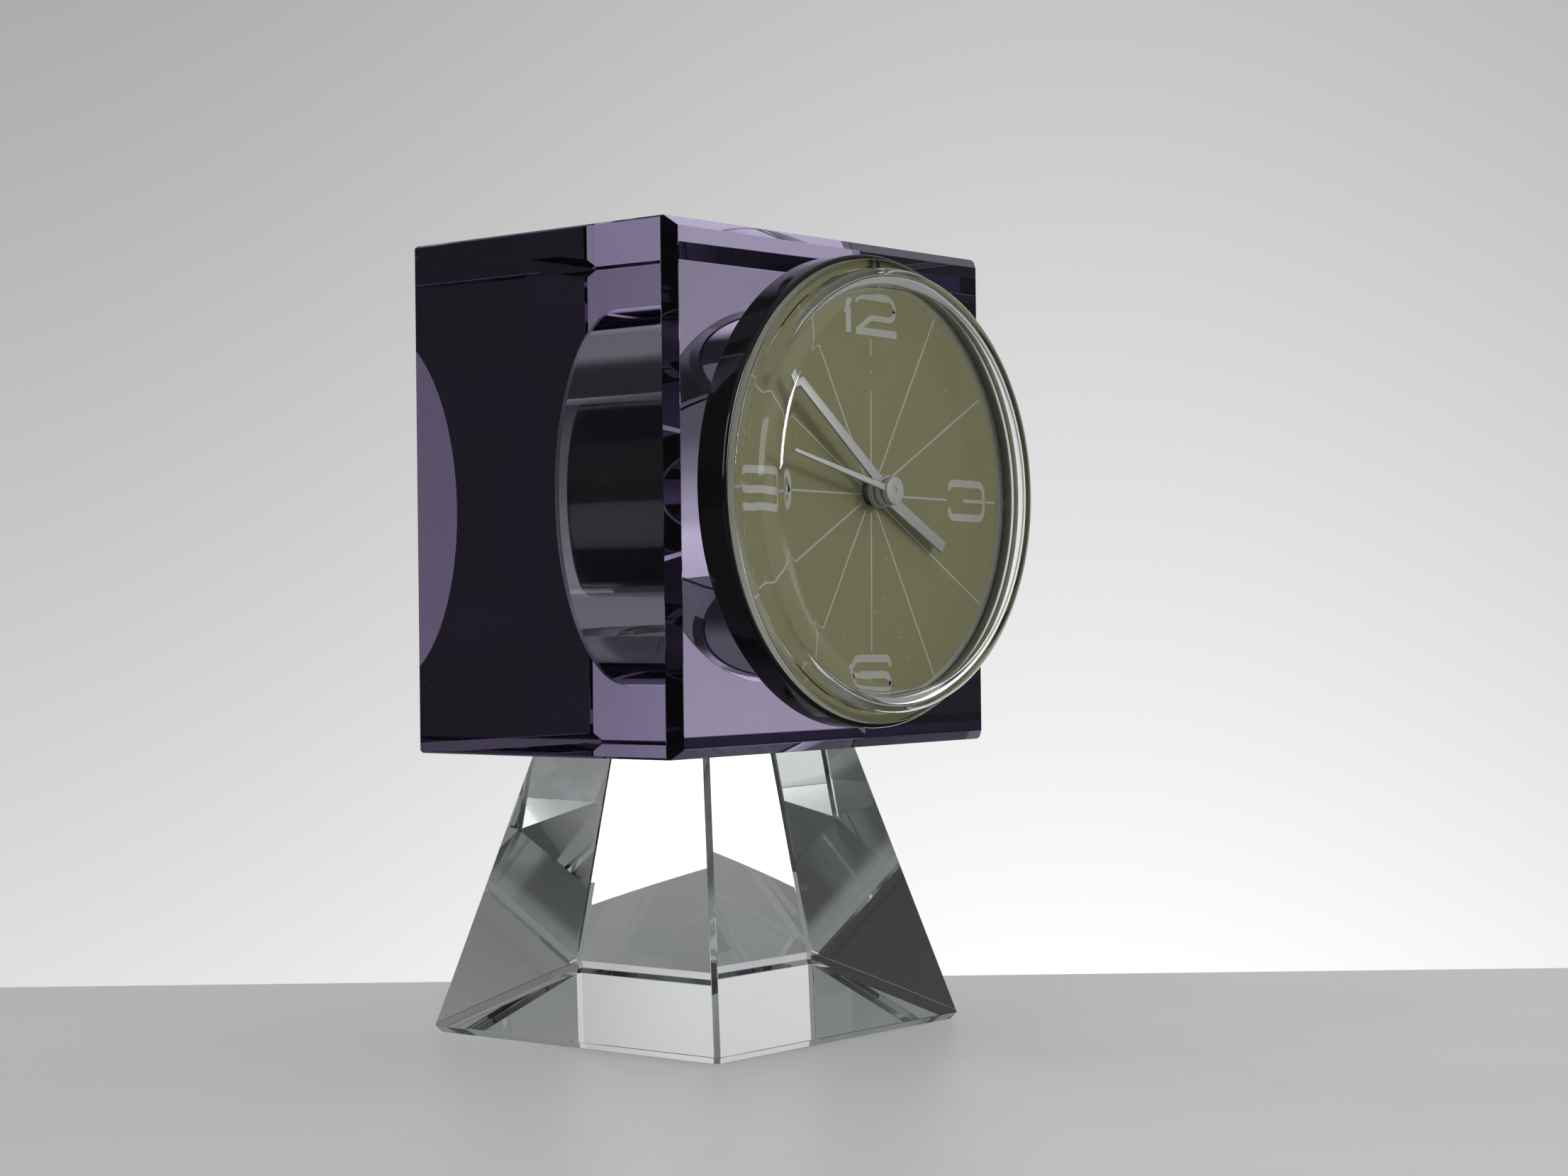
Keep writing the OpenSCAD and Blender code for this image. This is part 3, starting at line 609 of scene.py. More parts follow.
@dataclass(frozen=True)
class GlassFinish(Finish):
    """A clear finish with a body colour, dust specks, faint scuffs and perhaps a satin ring.

    The volume keeps the share absorb of each colour, by its density per metre. A finish that
    passes light lets shadow and diffuse rays straight through with a tint.
    """

    absorb: Rgb
    density: float
    index: float = 1.52
    dust: float = 0.035
    dust_rough: float = 0.5
    scuffs: float = 0.06
    passes_light: bool = False
    light_tint: Rgb = (0.9, 0.9, 0.9)
    satin: Optional[SatinZone] = None

    def material(self) -> Material:
        """Build the material."""
        material, bench, shader = self.start()
        place = bench.object_place()
        specks = bench.add("Group", {"Vector": place, "Size": self.dust}, node_tree=DUST)
        scuff = bench.add("Group", {"Vector": place, "Amount": self.scuffs}, node_tree=SCUFFS)
        marks = bench.sum("MULTIPLY_ADD", specks.outputs[0], self.dust_rough, scuff.outputs[0],
                          clamp=True)
        colour = WHITE
        if self.satin:
            ring = self.satin.mask(bench, place)
            marks = bench.sum("MULTIPLY_ADD", ring, self.satin.rough, marks, clamp=True)
            # A dark satin tint paints shade into the light that passes the ring.
            colour = bench.blend(ring, WHITE, rgba(self.satin.tint))
        bench.feed(shader, {"Base Color": colour, "Roughness": marks, "IOR": self.index,
                            "Transmission Weight": 1.0})
        body = {"Color": rgba(self.absorb), "Density": self.density}
        output = material.node_tree.nodes["Material Output"]
        bench.feed(output, {"Volume": bench.add("VolumeAbsorption", body).outputs[0]})
        if self.passes_light:
            path = bench.add("LightPath", {}).outputs
            through = bench.sum("MAXIMUM", path["Is Shadow Ray"], path["Is Diffuse Ray"])
            clear = bench.add("BsdfTransparent", {"Color": rgba(self.light_tint)}).outputs[0]
            mix = bench.add("MixShader", {0: through, 1: shader.outputs[0], 2: clear})
            bench.feed(output, {"Surface": mix.outputs[0]})
        return material


@dataclass(frozen=True)
class WindingFinish(Finish):
    """Enamelled wire in close turns of a pitch in millimetres.

    The winding's axis leans from upright towards +X by an angle in degrees. The colour falls to
    a share of itself in the crease between two turns and rises over each turn, a painted shade
    of round wire.
    """

    colour: Rgb
    pitch: float
    lean: float
    groove_shade: float = 0.35

    def material(self) -> Material:
        """Build the material."""
        material, bench, shader = self.start()
        lean = math.radians(self.lean)
        axis = (math.sin(lean), 0, math.cos(lean))
        run = bench.vector("DOT_PRODUCT", bench.object_place(), axis)
        wave = bench.sum("SINE", bench.times(run, 2 * math.pi / (self.pitch * MM)))
        turn = bench.ramp(wave, Step(-1.0, 1.0))
        # Painted shade: the colour drops in the crease between two turns and rises over each turn.
        shade = tuple(self.groove_shade * c for c in self.colour)
        colour = bench.blend(turn, rgba(shade), rgba(self.colour))
        bench.feed(shader, {"Base Color": colour, "Metallic": 0.6, "Roughness": 0.3})
        bench.bump(shader, turn, 0.8, 0.03)
        return material


@dataclass(frozen=True)
class BoardFinish(Finish):
    """Solder mask with tracks of a scale per metre and a width as a share showing through it."""

    mask: Rgb
    track: Rgb
    scale: float = 420.0
    width: float = 0.06

    def material(self) -> Material:
        """Build the material."""
        material, bench, shader = self.start()
        upright = {"Vector": bench.object_place(), "Rotation": (math.pi / 2, 0, 0)}
        colours = {"Color1": rgba(self.mask), "Color2": rgba(self.mask),
                   "Mortar": rgba(self.track)}
        brick = bench.add("TexBrick", {
            "Vector": bench.add("Mapping", upright).outputs[0], "Scale": self.scale,
            "Mortar Size": self.width, **colours,
        })
        bench.feed(shader, {"Base Color": brick.outputs["Color"], "Roughness": 0.28})
        bench.bump(shader, brick.outputs["Fac"], 0.4, 0.02)
        return material


@dataclass(frozen=True)
class SleeveFinish(Finish):
    """The cell's plain sleeve: two fields of colour that meet at the split.

    The metal is bare beyond a distance from the middle. Both are given along x.
    """

    body: Rgb
    band: Rgb
    split: float
    bare: float
    metal: Rgb = (0.6, 0.6, 0.6)

    def material(self) -> Material:
        """Build the material."""
        material, bench, shader = self.start()
        place = bench.object_place()
        along = bench.parts(place)["X"]
        scales = {"Grain Scale": 3000.0, "Patch Scale": 120.0}
        grain = bench.add("Group", {"Vector": place, **scales}, node_tree=GRAIN).outputs
        field = bench.sum("GREATER_THAN", along, self.split * MM)
        ends = bench.sum("GREATER_THAN", bench.sum("ABSOLUTE", along), self.bare * MM)
        colour = bench.blend(field, rgba(self.body), rgba(self.band))
        bench.feed(shader, {
            "Base Color": bench.blend(ends, colour, rgba(self.metal)), "Metallic": ends,
            "Roughness": bench.sum("MULTIPLY_ADD", grain["Patches"], 0.1, 0.25),
        })
        return material


# The bore's end is ground to satin; its dark tint of 0.1 is painted shade in the recess behind the
# can.
BORE_END_SATIN_AND_SHADE = SatinZone(-1.0, 33.8, -32.3, -31.1, 0.3, (0.1, 0.1, 0.1))
CRYSTAL_SKIRT = SatinZone(40.1, 41.0, 7.8, 10.2, 0.5, (0.75, 0.75, 0.63))
CLEAR_GLASS = GlassFinish(
    "clear_glass", (0.62, 0.72, 0.66), 4.0, passes_light=True, light_tint=(0.93, 0.94, 0.93),
)
VIOLET_GLASS = GlassFinish(
    "violet_glass", (0.27, 0.19, 0.42), 22.0, passes_light=True, light_tint=(0.76, 0.73, 0.8),
    satin=BORE_END_SATIN_AND_SHADE,
)
CEMENT = GlassFinish("clear_cement", (0.9, 0.9, 0.85), 1.0, dust=0.0)
ACRYLIC = GlassFinish(
    "clear_acrylic", (0.8, 0.85, 0.8), 4.0, index=1.49, dust=0.03, passes_light=True,
    satin=CRYSTAL_SKIRT,
)
BLACK_GLOSS = SolidFinish(
    "gloss_black", (0.003, 0.003, 0.0032), (0.004, 0.004, 0.0042), 0.05, 0.03, bump=0.0012,
    scuffs=0.3,
)
CAN_LACQUER = SolidFinish(
    "can_lacquer", (0.085, 0.085, 0.084), (0.1, 0.1, 0.098), 0.12, 0.05, metal=0.85, bump=0.004,
    scuffs=0.3,
)
BLACK_SATIN = SolidFinish(
    "satin_black", (0.006, 0.006, 0.0065), (0.009, 0.009, 0.0095), 0.16, 0.08, bump=0.004,
    grain_scale=2600.0, scuffs=0.4,
)
RUBBER = SolidFinish(
    "black_rubber", (0.02, 0.02, 0.02), (0.03, 0.03, 0.029), 0.75, 0.1, bump=0.02,
    grain_scale=1800.0,
)
OLIVE_PAINT = SolidFinish(
    "olive_paint", (0.138, 0.139, 0.064), (0.148, 0.146, 0.072), 0.55, 0.06, gloss=0.2,
    grain_scale=5200.0, patch_scale=90.0, bump=0.004,
)
PRINT_INK = SolidFinish(
    "print_ink", (0.255, 0.255, 0.225), (0.235, 0.235, 0.205), 0.5, 0.05, bump=0.003,
)
HAND_PAINT = SolidFinish(
    "hand_paint", (0.255, 0.258, 0.245), (0.235, 0.237, 0.222), 0.4, 0.08, metal=0.15, bump=0.003,
)
HAND_PIPE = SolidFinish(
    "plated_pipe", (0.55, 0.55, 0.54), (0.47, 0.46, 0.43), 0.3, 0.1, metal=1.0, bump=0.003,
    scuffs=0.4,
)
BRASS = SolidFinish(
    "brass", (0.75, 0.56, 0.26), (0.62, 0.43, 0.2), 0.25, 0.15, metal=1.0, bump=0.004, scuffs=0.4,
)
STEEL = SolidFinish(
    "steel", (0.58, 0.58, 0.6), (0.48, 0.48, 0.5), 0.22, 0.12, metal=1.0, bump=0.003, scuffs=0.5,
)
MAGNET = SolidFinish(
    "sintered_magnet", (0.11, 0.11, 0.12), (0.08, 0.08, 0.085), 0.45, 0.15, metal=0.7,
    grain_scale=2200.0, bump=0.02,
)
SOFT_IRON = SolidFinish(
    "soft_iron", (0.45, 0.45, 0.46), (0.36, 0.33, 0.3), 0.35, 0.2, metal=1.0, scuffs=0.6,
)
WHITE_PLASTIC = SolidFinish(
    "white_acetal", (0.78, 0.78, 0.73), (0.72, 0.71, 0.65), 0.4, 0.1, bump=0.006,
)
DARK_PLASTIC = SolidFinish(
    "movement_plastic", (0.035, 0.035, 0.037), (0.045, 0.045, 0.046), 0.5, 0.12,
    grain_scale=2400.0, bump=0.012,
)
NICKEL = SolidFinish(
    "nickel_strip", (0.62, 0.6, 0.54), (0.52, 0.49, 0.42), 0.24, 0.14, metal=1.0, scuffs=0.5,
)
WINDING = WindingFinish("copper_winding", (0.62, 0.27, 0.1), 0.16, 40.0)
BOARD = BoardFinish("solder_mask", (0.03, 0.16, 0.07), (0.06, 0.26, 0.12))
SLEEVE = SleeveFinish("cell_sleeve", (0.03, 0.032, 0.036), (0.42, 0.25, 0.1), 12.0, 24.4)


def dress(piece: Piece, material: Material) -> None:
    """Give a piece one material."""
    piece.data.materials.clear()
    piece.data.materials.append(material)


def stand_for(piece: Piece, node: str, body: str) -> None:
    """Let a new piece replace a CAD node and ride on its body.

    Args:
        piece: The new piece.
        node: The CAD node that it stands for.
        body: The body that it moves with.
    """
    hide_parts(node)
    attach(piece, body)
    LOG.info("%s stands for %s on %s, %d faces", piece.name, node, body, len(piece.data.polygons))


# Glass body


@dataclass
class GlassFoot:
    """The clear foot: a flared four-sided block with ground bevels."""

    height: float = 51.0
    bottom: float = 69.0
    top: float = 42.0
    edge: float = 0.8
    rim: float = 1.2

    def build(self) -> Piece:
        """Cut the foot from a block and return it."""
        half = self.bottom / 2
        ratio = self.top / self.bottom
        piece = box((-half, -half, 0), (half, half, self.height))
        draw_in(piece, half * MM, (ratio, ratio, 1), Vector((0, 0, self.height)) * MM)
        lean = (self.bottom - self.top) / 2 / self.height
        for turn in range(0, 360, 45):
            c, s = math.cos(math.radians(turn)), math.sin(math.radians(turn))
            corner = turn % 90 == 45
            wide, low, slope = half, half - self.rim, lean
            if corner:
                wide, low = ((2 * v - self.edge) / math.sqrt(2) for v in (wide, low))
                slope *= math.sqrt(2)
                pare(piece, (wide * c, wide * s, 0), (c, s, slope))
            high = wide - slope * self.rim
            pare(piece, (low * c, low * s, 0), (c * self.rim, s * self.rim, low - high))
        soften_edges(piece, HAIR)
        return settle(piece, "clear_foot", GROUND)


@dataclass
class GlassBlock:
    """The violet block with its bevels and the blind bore for the insert."""

    width: float = 87.5
    depth: float = 62.0
    height: float = 90.0
    middle_y: float = -3.2
    middle_z: float = 96.15
    face_bevel: float = 1.7
    side_bevel: float = 0.4
    near_bevel: float = 2.1
    upright_bevel: float = 1.4
    bore: float = 33.5
    bore_depth: float = 32.0
    bore_bevel: float = 0.4

    def build(self) -> Piece:
        """Cut the block, sink its bore and return it."""
        w, d, h = self.width / 2, self.depth / 2, self.height / 2
        piece = box((-w, self.middle_y - d, self.middle_z - h),
                    (w, self.middle_y + d, self.middle_z + h))
        for sx in (-1, 1):
            for sy in (-1, 1):
                leg = self.near_bevel if (sx, sy) == (-1, -1) else self.upright_bevel
                self._cut(piece, (sx * (w - leg), sy * d, 0), (sx, sy, 0))
            for sz in (-1, 1):
                self._cut(piece, (sx * (w - self.side_bevel), 0, sz * h), (sx, 0, sz))
        for sy, sz in product((-1, 1), repeat=2):
            self._cut(piece, (0, sy * (d - self.face_bevel), sz * h), (0, sy, sz))
        mouth = self.bore + self.bore_bevel + OVERSHOOT
        cutter = turn_profile([
            (0, -self.bore_depth), (self.bore, -self.bore_depth), (self.bore, -self.bore_bevel),
            (mouth, OVERSHOOT), (0, OVERSHOOT),
        ], closed=False)
        work_in(piece, cutter, Fuse.CUT)
        soften_edges(piece, HAIR)
        return settle(piece, "violet_block", GROUND)

    def _cut(self, piece: Piece, offset: Triple, normal: Triple) -> None:
        """Pare one bevel, given from the block's middle."""
        x, y, z = offset
        pare(piece, (x, self.middle_y + y, self.middle_z + z), normal)


@dataclass
class CementFilm:
    """The clear film between foot and block, with a hair's gap to each."""

    half: float = 20.2
    low: float = 51.0
    thickness: float = 0.15
    gap: float = 0.01

    def build(self) -> Piece:
        """Lay the film and return it."""
        piece = box((-self.half, -self.half, self.low + self.gap),
                    (self.half, self.half, self.low + self.thickness - self.gap))
        soften_edges(piece, HAIR / 2)
        return settle(piece, "cement_line", GROUND)


# Insert, seen from the front


@dataclass
class Bezel:
    """The gloss black ring that flares off its seat and holds the crystal."""

    can: float = 33.05
    seat: float = 37.0
    seat_break: float = 0.25
    outer: float = 41.15
    recess: float = 40.35
    flare: float = 3.1
    flare_break: Triple = (0.12, 0.1, 0.15)
    height: float = 9.0
    rounding: float = 0.7
    mouth_break: float = 0.15
    dial_back: float = 5.5
    shelf: float = 31.0
    shelf_back: float = 3.7
    key: float = 1.2
    key_in: float = 1.5
    key_out: float = 0.4
    key_break: float = 0.08
    key_top: float = 8.5
    dial_face: float = 6.3

    def build(self) -> Piece:
        """Turn the ring with its lip, shelf and key."""
        inward, below, above = self.flare_break
        soft = self.rounding
        lip = arc((self.outer - soft, self.height - soft), soft, 0, 90, 10)
        piece = turn_profile([
            (self.can, 0.0), (self.seat - self.seat_break, 0.0), (self.seat, self.seat_break),
            (self.outer - inward, self.flare - below), (self.outer, self.flare + above), *lip,
            (self.recess + self.mouth_break, self.height),
            (self.recess, self.height - self.mouth_break), (self.recess, self.dial_back),
            (self.shelf, self.dial_back), (self.shelf, self.shelf_back),
            (self.can, self.shelf_back),
        ])
        key = insert_box((-self.key / 2, self.recess - self.key_in, self.dial_face),
                         (self.key / 2, self.recess + self.key_out, self.key_top))
        soften_edges(key, self.key_break, 2)
        work_in(piece, key, Fuse.ADD)
        return settle(piece, "black_bezel", TURNED)


@dataclass
class Crystal:
    """The clear cap: a skirt inside the bezel, a shoulder and a raised drum."""

    foot: float = 40.3
    drum: float = 38.5
    base: float = 6.3
    shoulder: float = 10.35
    top: float = 16.45
    front: float = 1.95
    side: float = 2.3
    flange: float = 2.6
    skirt: float = 1.3
    rounding: float = 4.0
    inner_rounding: float = 2.0
    shoulder_rounding: float = 0.3
    cove: float = 0.15
    key_half: float = 0.65
    key_depth: float = 38.8
    key_top: float = 8.55

    def build(self) -> Piece:
        """Turn the cap and notch it for the bezel's key."""
        ceiling, inside, soft = self.top - self.front, self.drum - self.side, self.inner_rounding
        outer, brim, ledge = self.rounding, self.shoulder_rounding, self.shoulder - self.flange
        piece = turn_profile([
            (0.0, self.top), *arc((self.drum - outer, self.top - outer), outer, 90, 0, 16),
            (self.drum, self.shoulder + self.cove), (self.drum + self.cove, self.shoulder),
            *arc((self.foot - brim, self.shoulder - brim), brim, 90, 0, 5),
            (self.foot, self.base), (self.foot - self.skirt, self.base),
            (self.foot - self.skirt, ledge), (inside, ledge),
            *arc((inside - soft, ceiling - soft), soft, 0, 90, 12), (0.0, ceiling),
        ], closed=False)
        notch = insert_box((-self.key_half, self.key_depth, self.base - OVERSHOOT),
                           (self.key_half, self.foot + OVERSHOOT, self.key_top))
        work_in(piece, notch, Fuse.CUT)
        return settle(piece, "stepped_crystal", TURNED)


class Numeral(Enum):
    """The hours that the dial prints as figures."""

    THREE = 3
    SIX = 6
    NINE = 9
    TWELVE = 12


@dataclass
class Dial:
    """The olive disc with its hour lines and figures."""

    radius: float = 40.25
    hole: float = 2.4
    back: float = 5.5
    face: float = 6.3
    edge: float = 0.1
    ink: float = 0.03
    sunk: float = 0.01
    turn: float = 0.9
    print_drop: float = 0.55
    stroke_step: float = 0.003
    figure_radius: float = 28.4
    nine_radius: float = 27.8
    figure_height_radius: float = 31.6
    line_start: float = 3.1
    line_reach: float = 37.3
    side_gap: Point = (22.2, 34.2)
    twelve_gap: Point = (18.2, 24.4)
    twelve_end: float = 27.3
    six_end: float = 27.4
    line_half: float = 0.18
    figure_half_width: float = 5.7
    figure_half_height: float = 3.75
    nib: Point = (0.42, 0.66)

    def build(self) -> tuple[Piece, Piece, Piece]:
        """Return the disc, its hour lines and its figures."""
        disc = turn_profile([
            (self.hole, self.back), (self.radius, self.back), (self.radius, self.face - self.edge),
            (self.radius - self.edge, self.face), (self.hole + self.edge, self.face),
            (self.hole, self.face - self.edge),
        ])
        settle(disc, "dial_disc", TURNED)
        lines = join([self._line(*run) for run in self._line_runs()])
        strokes = [stroke for numeral in Numeral for stroke in self._figure(numeral)]
        for level, stroke in enumerate(strokes):
            stroke.data.transform(Matrix.Translation((0, -level * self.stroke_step * MM, 0)))
        figures = join(strokes)
        for piece, name in ((lines, "dial_hour_lines"), (figures, "dial_figures")):
            swing(piece, self.turn)
            piece.data.transform(Matrix.Translation((0, 0, -self.print_drop * MM)))
            settle(piece, name, TURNED)
        return disc, lines, figures

    def _line_runs(self) -> list[tuple[int, float, float]]:
        """Return each hour line as its hour, inner and outer end."""
        start, end = self.line_start, self.line_reach
        beside = ((start, self.side_gap[0]), (self.side_gap[1], end))
        broken = {
            3: beside, 6: ((start, self.six_end),), 9: beside,
            12: ((start, self.twelve_gap[0]), (self.twelve_gap[1], self.twelve_end)),
        }
        return [(hour, *run) for hour in range(1, 13) for run in broken.get(hour, ((start, end),))]

    def _line(self, hour: int, start: float, end: float) -> Piece:
        """Draw one hour line."""
        angle = math.radians(90 - 30 * hour)
        path = [(r * math.cos(angle), r * math.sin(angle)) for r in (start, end)]
        return ribbon(path, (self.line_half, self.line_half), self.face - self.sunk, self.ink)

    def _stroke(self, centre: Point, corners: Sequence[Triple], nib: Optional[Point] = None,
                sign: int = 1) -> Piece:
        """Draw one stroke of a figure about its centre, with -1 turned by half a turn."""
        path = [(centre[0] + sign * x, centre[1] + sign * y) for x, y in rounded_path(corners)]
        return ribbon(path, nib or self.nib, self.face - self.sunk, self.ink)

    def _figure(self, numeral: Numeral) -> list[Piece]:
        """Draw one figure.

        Args:
            numeral: The hour that the figure names.

        Returns:
            Its strokes as separate pieces.
        """
        w, h = self.figure_half_width - self.nib[0], self.figure_half_height - self.nib[1]
        if numeral is Numeral.THREE:
            c, bar = (self.figure_radius, 0.0), (0.3, 0.31)
            upper = [(-w, 1.7, 0), (-w, h, 1.4), (w, h, 1.9), (w, 0.5, 0.4), (w - 0.25, 0.0, 0)]
            lower = [(-w, -1.35, 0), *((x, -y, radius) for x, y, radius in upper[1:])]
            middle = [(-1.0, 0.0, 0), (w, 0.0, 0)]
            return [self._stroke(c, upper), self._stroke(c, lower), self._stroke(c, middle, bar)]
        if numeral is Numeral.TWELVE:
            one, two = (-6.35, self.figure_height_radius), (1.55, self.figure_height_radius)
            bow = [(-5.55, 1.75, 0), (-5.55, h, 1.2), (5.25, h, 2.4), (5.25, -0.62, 1.7),
                   (-1.6, -0.62, 2.6), (-5.3, -3.05, 0)]
            strokes = (
                (one, [(0.0, 3.0, 0), (0.0, -3.62, 0)], (0.72, 0.5)),
                (one, [(-0.75, 1.8, 0), (0.1, 3.0, 0)], (0.5, 0.35)),
                (two, bow, (0.45, 0.5)),
                (two, [(-4.6, h, 0), (3.2, h, 0)], (0.3, 0.68)),
                (two, [(-5.75, -h - 0.02, 0), (5.9, -h - 0.02, 0)], (0.3, 0.64)),
            )
            return [self._stroke(*stroke) for stroke in strokes]
        loop = [(w, 1.65, 0), (w, h, 1.5), (-w, h, 1.9), (-w, -h, 1.9), (w, -h, 1.9),
                (w, 0.25, 1.9), (-w + 0.9, 0.25, 0.6), (-w, -0.45, 0)]
        if numeral is Numeral.SIX:
            return [self._stroke((0.0, -self.figure_height_radius), loop)]
        return [self._stroke((-self.nine_radius, 0.0), loop, sign=-1)]


@dataclass
class Hand:
    """One stamped hand with its hub.

    The level is the underside of the hub above the block's front face, and the lift is the
    blade's height above it. A bore of 0 makes a closed cap with a dimple, which a slope from
    the flat share of its radius leads to. The blade starts beyond the root distance: from the
    axis under a cap, else from the bore. The hand points clockwise from twelve, in degrees.
    """

    kind: str
    reach: float
    root_width: float
    tip_width: float
    level: float
    hub: float
    hub_height: float
    bore: float
    lift: float
    clockwise: float
    thickness: float = 0.5
    rim: float = 0.2
    root: Point = (0.9, 0.2)
    dimple: float = 0.5
    dimple_depth: float = 0.15
    flat: float = 0.45

    def build(self) -> Piece:
        """Stamp the blade, turn the hub and join them."""
        piece = self._hub()
        work_in(piece, self._blade(), Fuse.ADD)
        swing(piece, self.clockwise)
        return settle(piece, f"{self.kind}_hand_blade", TURNED)

    def _hub(self) -> Piece:
        """Turn the hub with a rounded rim."""
        top = self.level + self.hub_height
        rim = arc((self.hub - self.rim, top - self.rim), self.rim, 0, 90, 5)
        outside = [(self.hub, self.level), *rim]
        if self.bore:
            profile = [(self.bore, self.level), *outside, (self.bore, top)]
            return turn_profile(profile, steps=HUB_STEPS)
        floor = top - self.dimple_depth
        return turn_profile([
            (0.0, self.level), *outside, (self.hub * self.flat, top),
            (self.dimple + 0.1, top - 0.02), (self.dimple, floor), (0.0, floor),
        ], closed=False, steps=HUB_STEPS)

    def _blade(self) -> Piece:
        """Draw the blade out to its tip and break its edges."""
        low = self.level + self.lift
        start = self.bore + self.root[1] if self.bore else self.root[0]
        blade = insert_box((-self.root_width / 2, start, low),
                           (self.root_width / 2, self.reach, low + self.thickness))
        ratio = self.tip_width / self.root_width
        tip = AXIS.at(0, self.reach, low)
        draw_in(blade, tip.z - 0.01 * MM, (ratio, 1, 1), tip)
        soften_edges(blade, HAIR, 2, 40)
        return blade


# Studio


@dataclass(frozen=True)
class PhotoCamera:
    """The camera fitted to the photograph.

    Place and sensor are in millimetres, angles in degrees, the azimuth from +Y towards +X and
    the elevation downwards, focal length and frame width in pixels of the full frame.
    """

    place: Triple = (-396.477, -347.887, 75.228)
    azimuth: float = 50.5467
    elevation: float = -0.4962
    roll: float = -0.7107
    focal: float = 4055.04
    frame_width: float = 2212.0
    sensor: float = 36.0

    def build(self) -> None:
        """Add the camera and make it the scene's own."""
        a, e, r = (math.radians(v) for v in (self.azimuth, self.elevation, self.roll))
        ahead = Vector((math.sin(a) * math.cos(e), math.cos(a) * math.cos(e), -math.sin(e)))
        right = Vector((math.cos(a), -math.sin(a), 0))
        up = right.cross(ahead)
        right, up = (right * math.cos(r) + up * math.sin(r), up * math.cos(r) - right * math.sin(r))
        deselect()
        bpy.ops.object.camera_add(location=Vector(self.place) * MM)
        camera = bpy.context.object
        camera.name = "photo_camera"
        camera.rotation_euler = Matrix((right, up, -ahead)).transposed().to_euler()
        camera.data.sensor_width = self.sensor
        camera.data.lens = self.focal / self.frame_width * self.sensor
        camera.data.clip_start = 0.01
        bpy.context.scene.camera = camera


